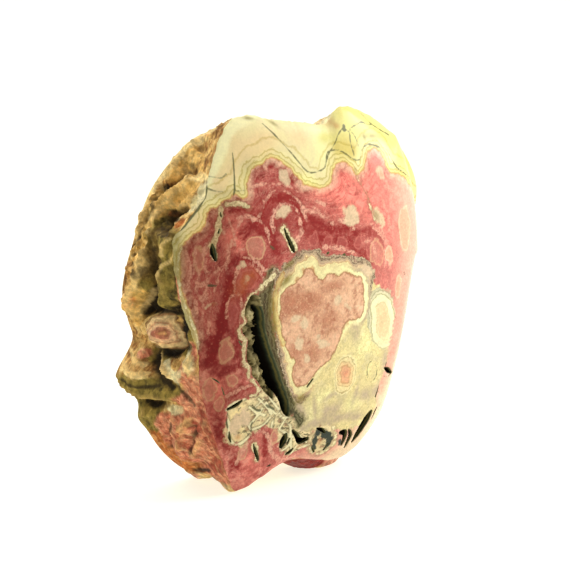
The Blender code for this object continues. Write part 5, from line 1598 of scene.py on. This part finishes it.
class STONE_OT_stage(bpy.types.Operator):
    """Lay the pale floor, set the soft lights and place the camera"""

    bl_idname = "stone.make_stage"
    bl_label = "Floor, lights and camera"

    def execute(self, context):
        sizes = context.scene.stage_sizes
        scene = context.scene
        self.make_floor(scene, sizes)
        self.make_lights(scene)
        self.make_camera(scene, sizes)
        scene.view_settings.view_transform = "Standard"
        return {"FINISHED"}

    def make_floor(self, scene, sizes):
        bm = bmesh.new()
        bmesh.ops.create_grid(bm, x_segments=1, y_segments=1, size=sizes.floor_width / 2.0)
        mesh = bpy.data.meshes.new("floor")
        bm.to_mesh(mesh)
        bm.free()
        floor = bpy.data.objects.new("floor", mesh)
        scene.collection.objects.link(floor)
        material = bpy.data.materials.new("pale floor")
        material.use_nodes = True
        shader = material.node_tree.nodes["Principled BSDF"]
        shader.inputs["Base Color"].default_value = FLOOR_COLOUR
        shader.inputs["Emission Color"].default_value = FLOOR_GLOW
        shader.inputs["Emission Strength"].default_value = FLOOR_GLOW_STRENGTH
        shader.inputs["Roughness"].default_value = 0.9
        shader.inputs["Specular IOR Level"].default_value = 0.1
        mesh.materials.append(material)
        floor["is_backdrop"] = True

    def make_lights(self, scene):
        for name, azimuth, elevation, width, strength in LIGHTS:
            data = bpy.data.lights.new(name, "SUN")
            data.angle = math.radians(width)
            data.energy = strength
            lamp = bpy.data.objects.new(name, data)
            scene.collection.objects.link(lamp)
            point_at(lamp, toward(math.radians(azimuth), math.radians(elevation)), Vector())
        azimuth, elevation, distance, width, power = KEY
        data = bpy.data.lights.new("key", "AREA")
        data.shape = "DISK"
        data.size = width
        data.energy = power
        lamp = bpy.data.objects.new("key", data)
        scene.collection.objects.link(lamp)
        middle = Vector(KEY_AIM)
        place = middle + distance * toward(math.radians(azimuth), math.radians(elevation))
        point_at(lamp, place, middle)
        world = bpy.data.worlds.new("studio")
        scene.world = world
        world.use_nodes = True
        nodes, links = world.node_tree.nodes, world.node_tree.links
        direction = nodes.new("ShaderNodeSeparateXYZ")
        links.new(nodes.new("ShaderNodeTexCoord").outputs["Generated"], direction.inputs["Vector"])
        light = nodes.new("ShaderNodeMapRange")
        light.interpolation_type = "SMOOTHSTEP"
        for socket, value in WORLD_RAMP.items():
            light.inputs[socket].default_value = value
        links.new(direction.outputs["Y"], light.inputs["Value"])
        links.new(light.outputs["Result"], nodes["Background"].inputs["Strength"])
        nodes["Background"].inputs["Color"].default_value = (1.0, 1.0, 1.0, 1.0)

    def make_camera(self, scene, sizes):
        data = bpy.data.cameras.new("camera")
        data.sensor_width = 36.0
        data.lens = data.sensor_width * sizes.distance / (sizes.pixel_width * PICTURE_PIXELS)
        data.clip_start = 0.01
        camera = bpy.data.objects.new("camera", data)
        scene.collection.objects.link(camera)
        scene.camera = camera
        back = toward(-sizes.azimuth, sizes.elevation)
        right = Vector((math.cos(sizes.azimuth), -math.sin(sizes.azimuth), 0.0))
        up = back.cross(right)
        middle = (Vector(CAMERA_AIM) - Vector(ORIGIN)) * MM
        aim = middle - right * AIM_SHIFT[0] * MM + up * AIM_SHIFT[1] * MM
        point_at(camera, aim + back * sizes.distance, aim)


class STONE_PT_panel(bpy.types.Panel):
    """Buttons and settings for the stone and its stage"""

    bl_label = "Rhodochrosite slice"
    bl_space_type = "VIEW_3D"
    bl_region_type = "UI"
    bl_category = "Stone"

    def draw(self, context):
        for operator in OPERATORS:
            self.layout.operator(operator.bl_idname)
        for group, kind in GROUPS.items():
            for name in kind.__annotations__:
                self.layout.prop(getattr(context.scene, group), name)


OPERATORS = (STONE_OT_slice, STONE_OT_stage)
GROUPS = {"stone_sizes": StoneSizes, "stage_sizes": StageSizes, "stone_colours": StoneColours}
CLASSES = (*GROUPS.values(), *OPERATORS, STONE_PT_panel)


def register():
    for kind in CLASSES:
        bpy.utils.register_class(kind)
    for group, kind in GROUPS.items():
        setattr(bpy.types.Scene, group, PointerProperty(type=kind))


def unregister():
    for group in GROUPS:
        delattr(bpy.types.Scene, group)
    for kind in reversed(CLASSES):
        bpy.utils.unregister_class(kind)


def main():
    register()
    bpy.ops.stone.make_slice()
    bpy.ops.stone.make_stage()
    sizes = {name: [list(map(float, corner)) for corner in box]
             for name, box in (("cad", CAD_BOX), ("visual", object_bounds()))}


if __name__ == "__main__":
    main()
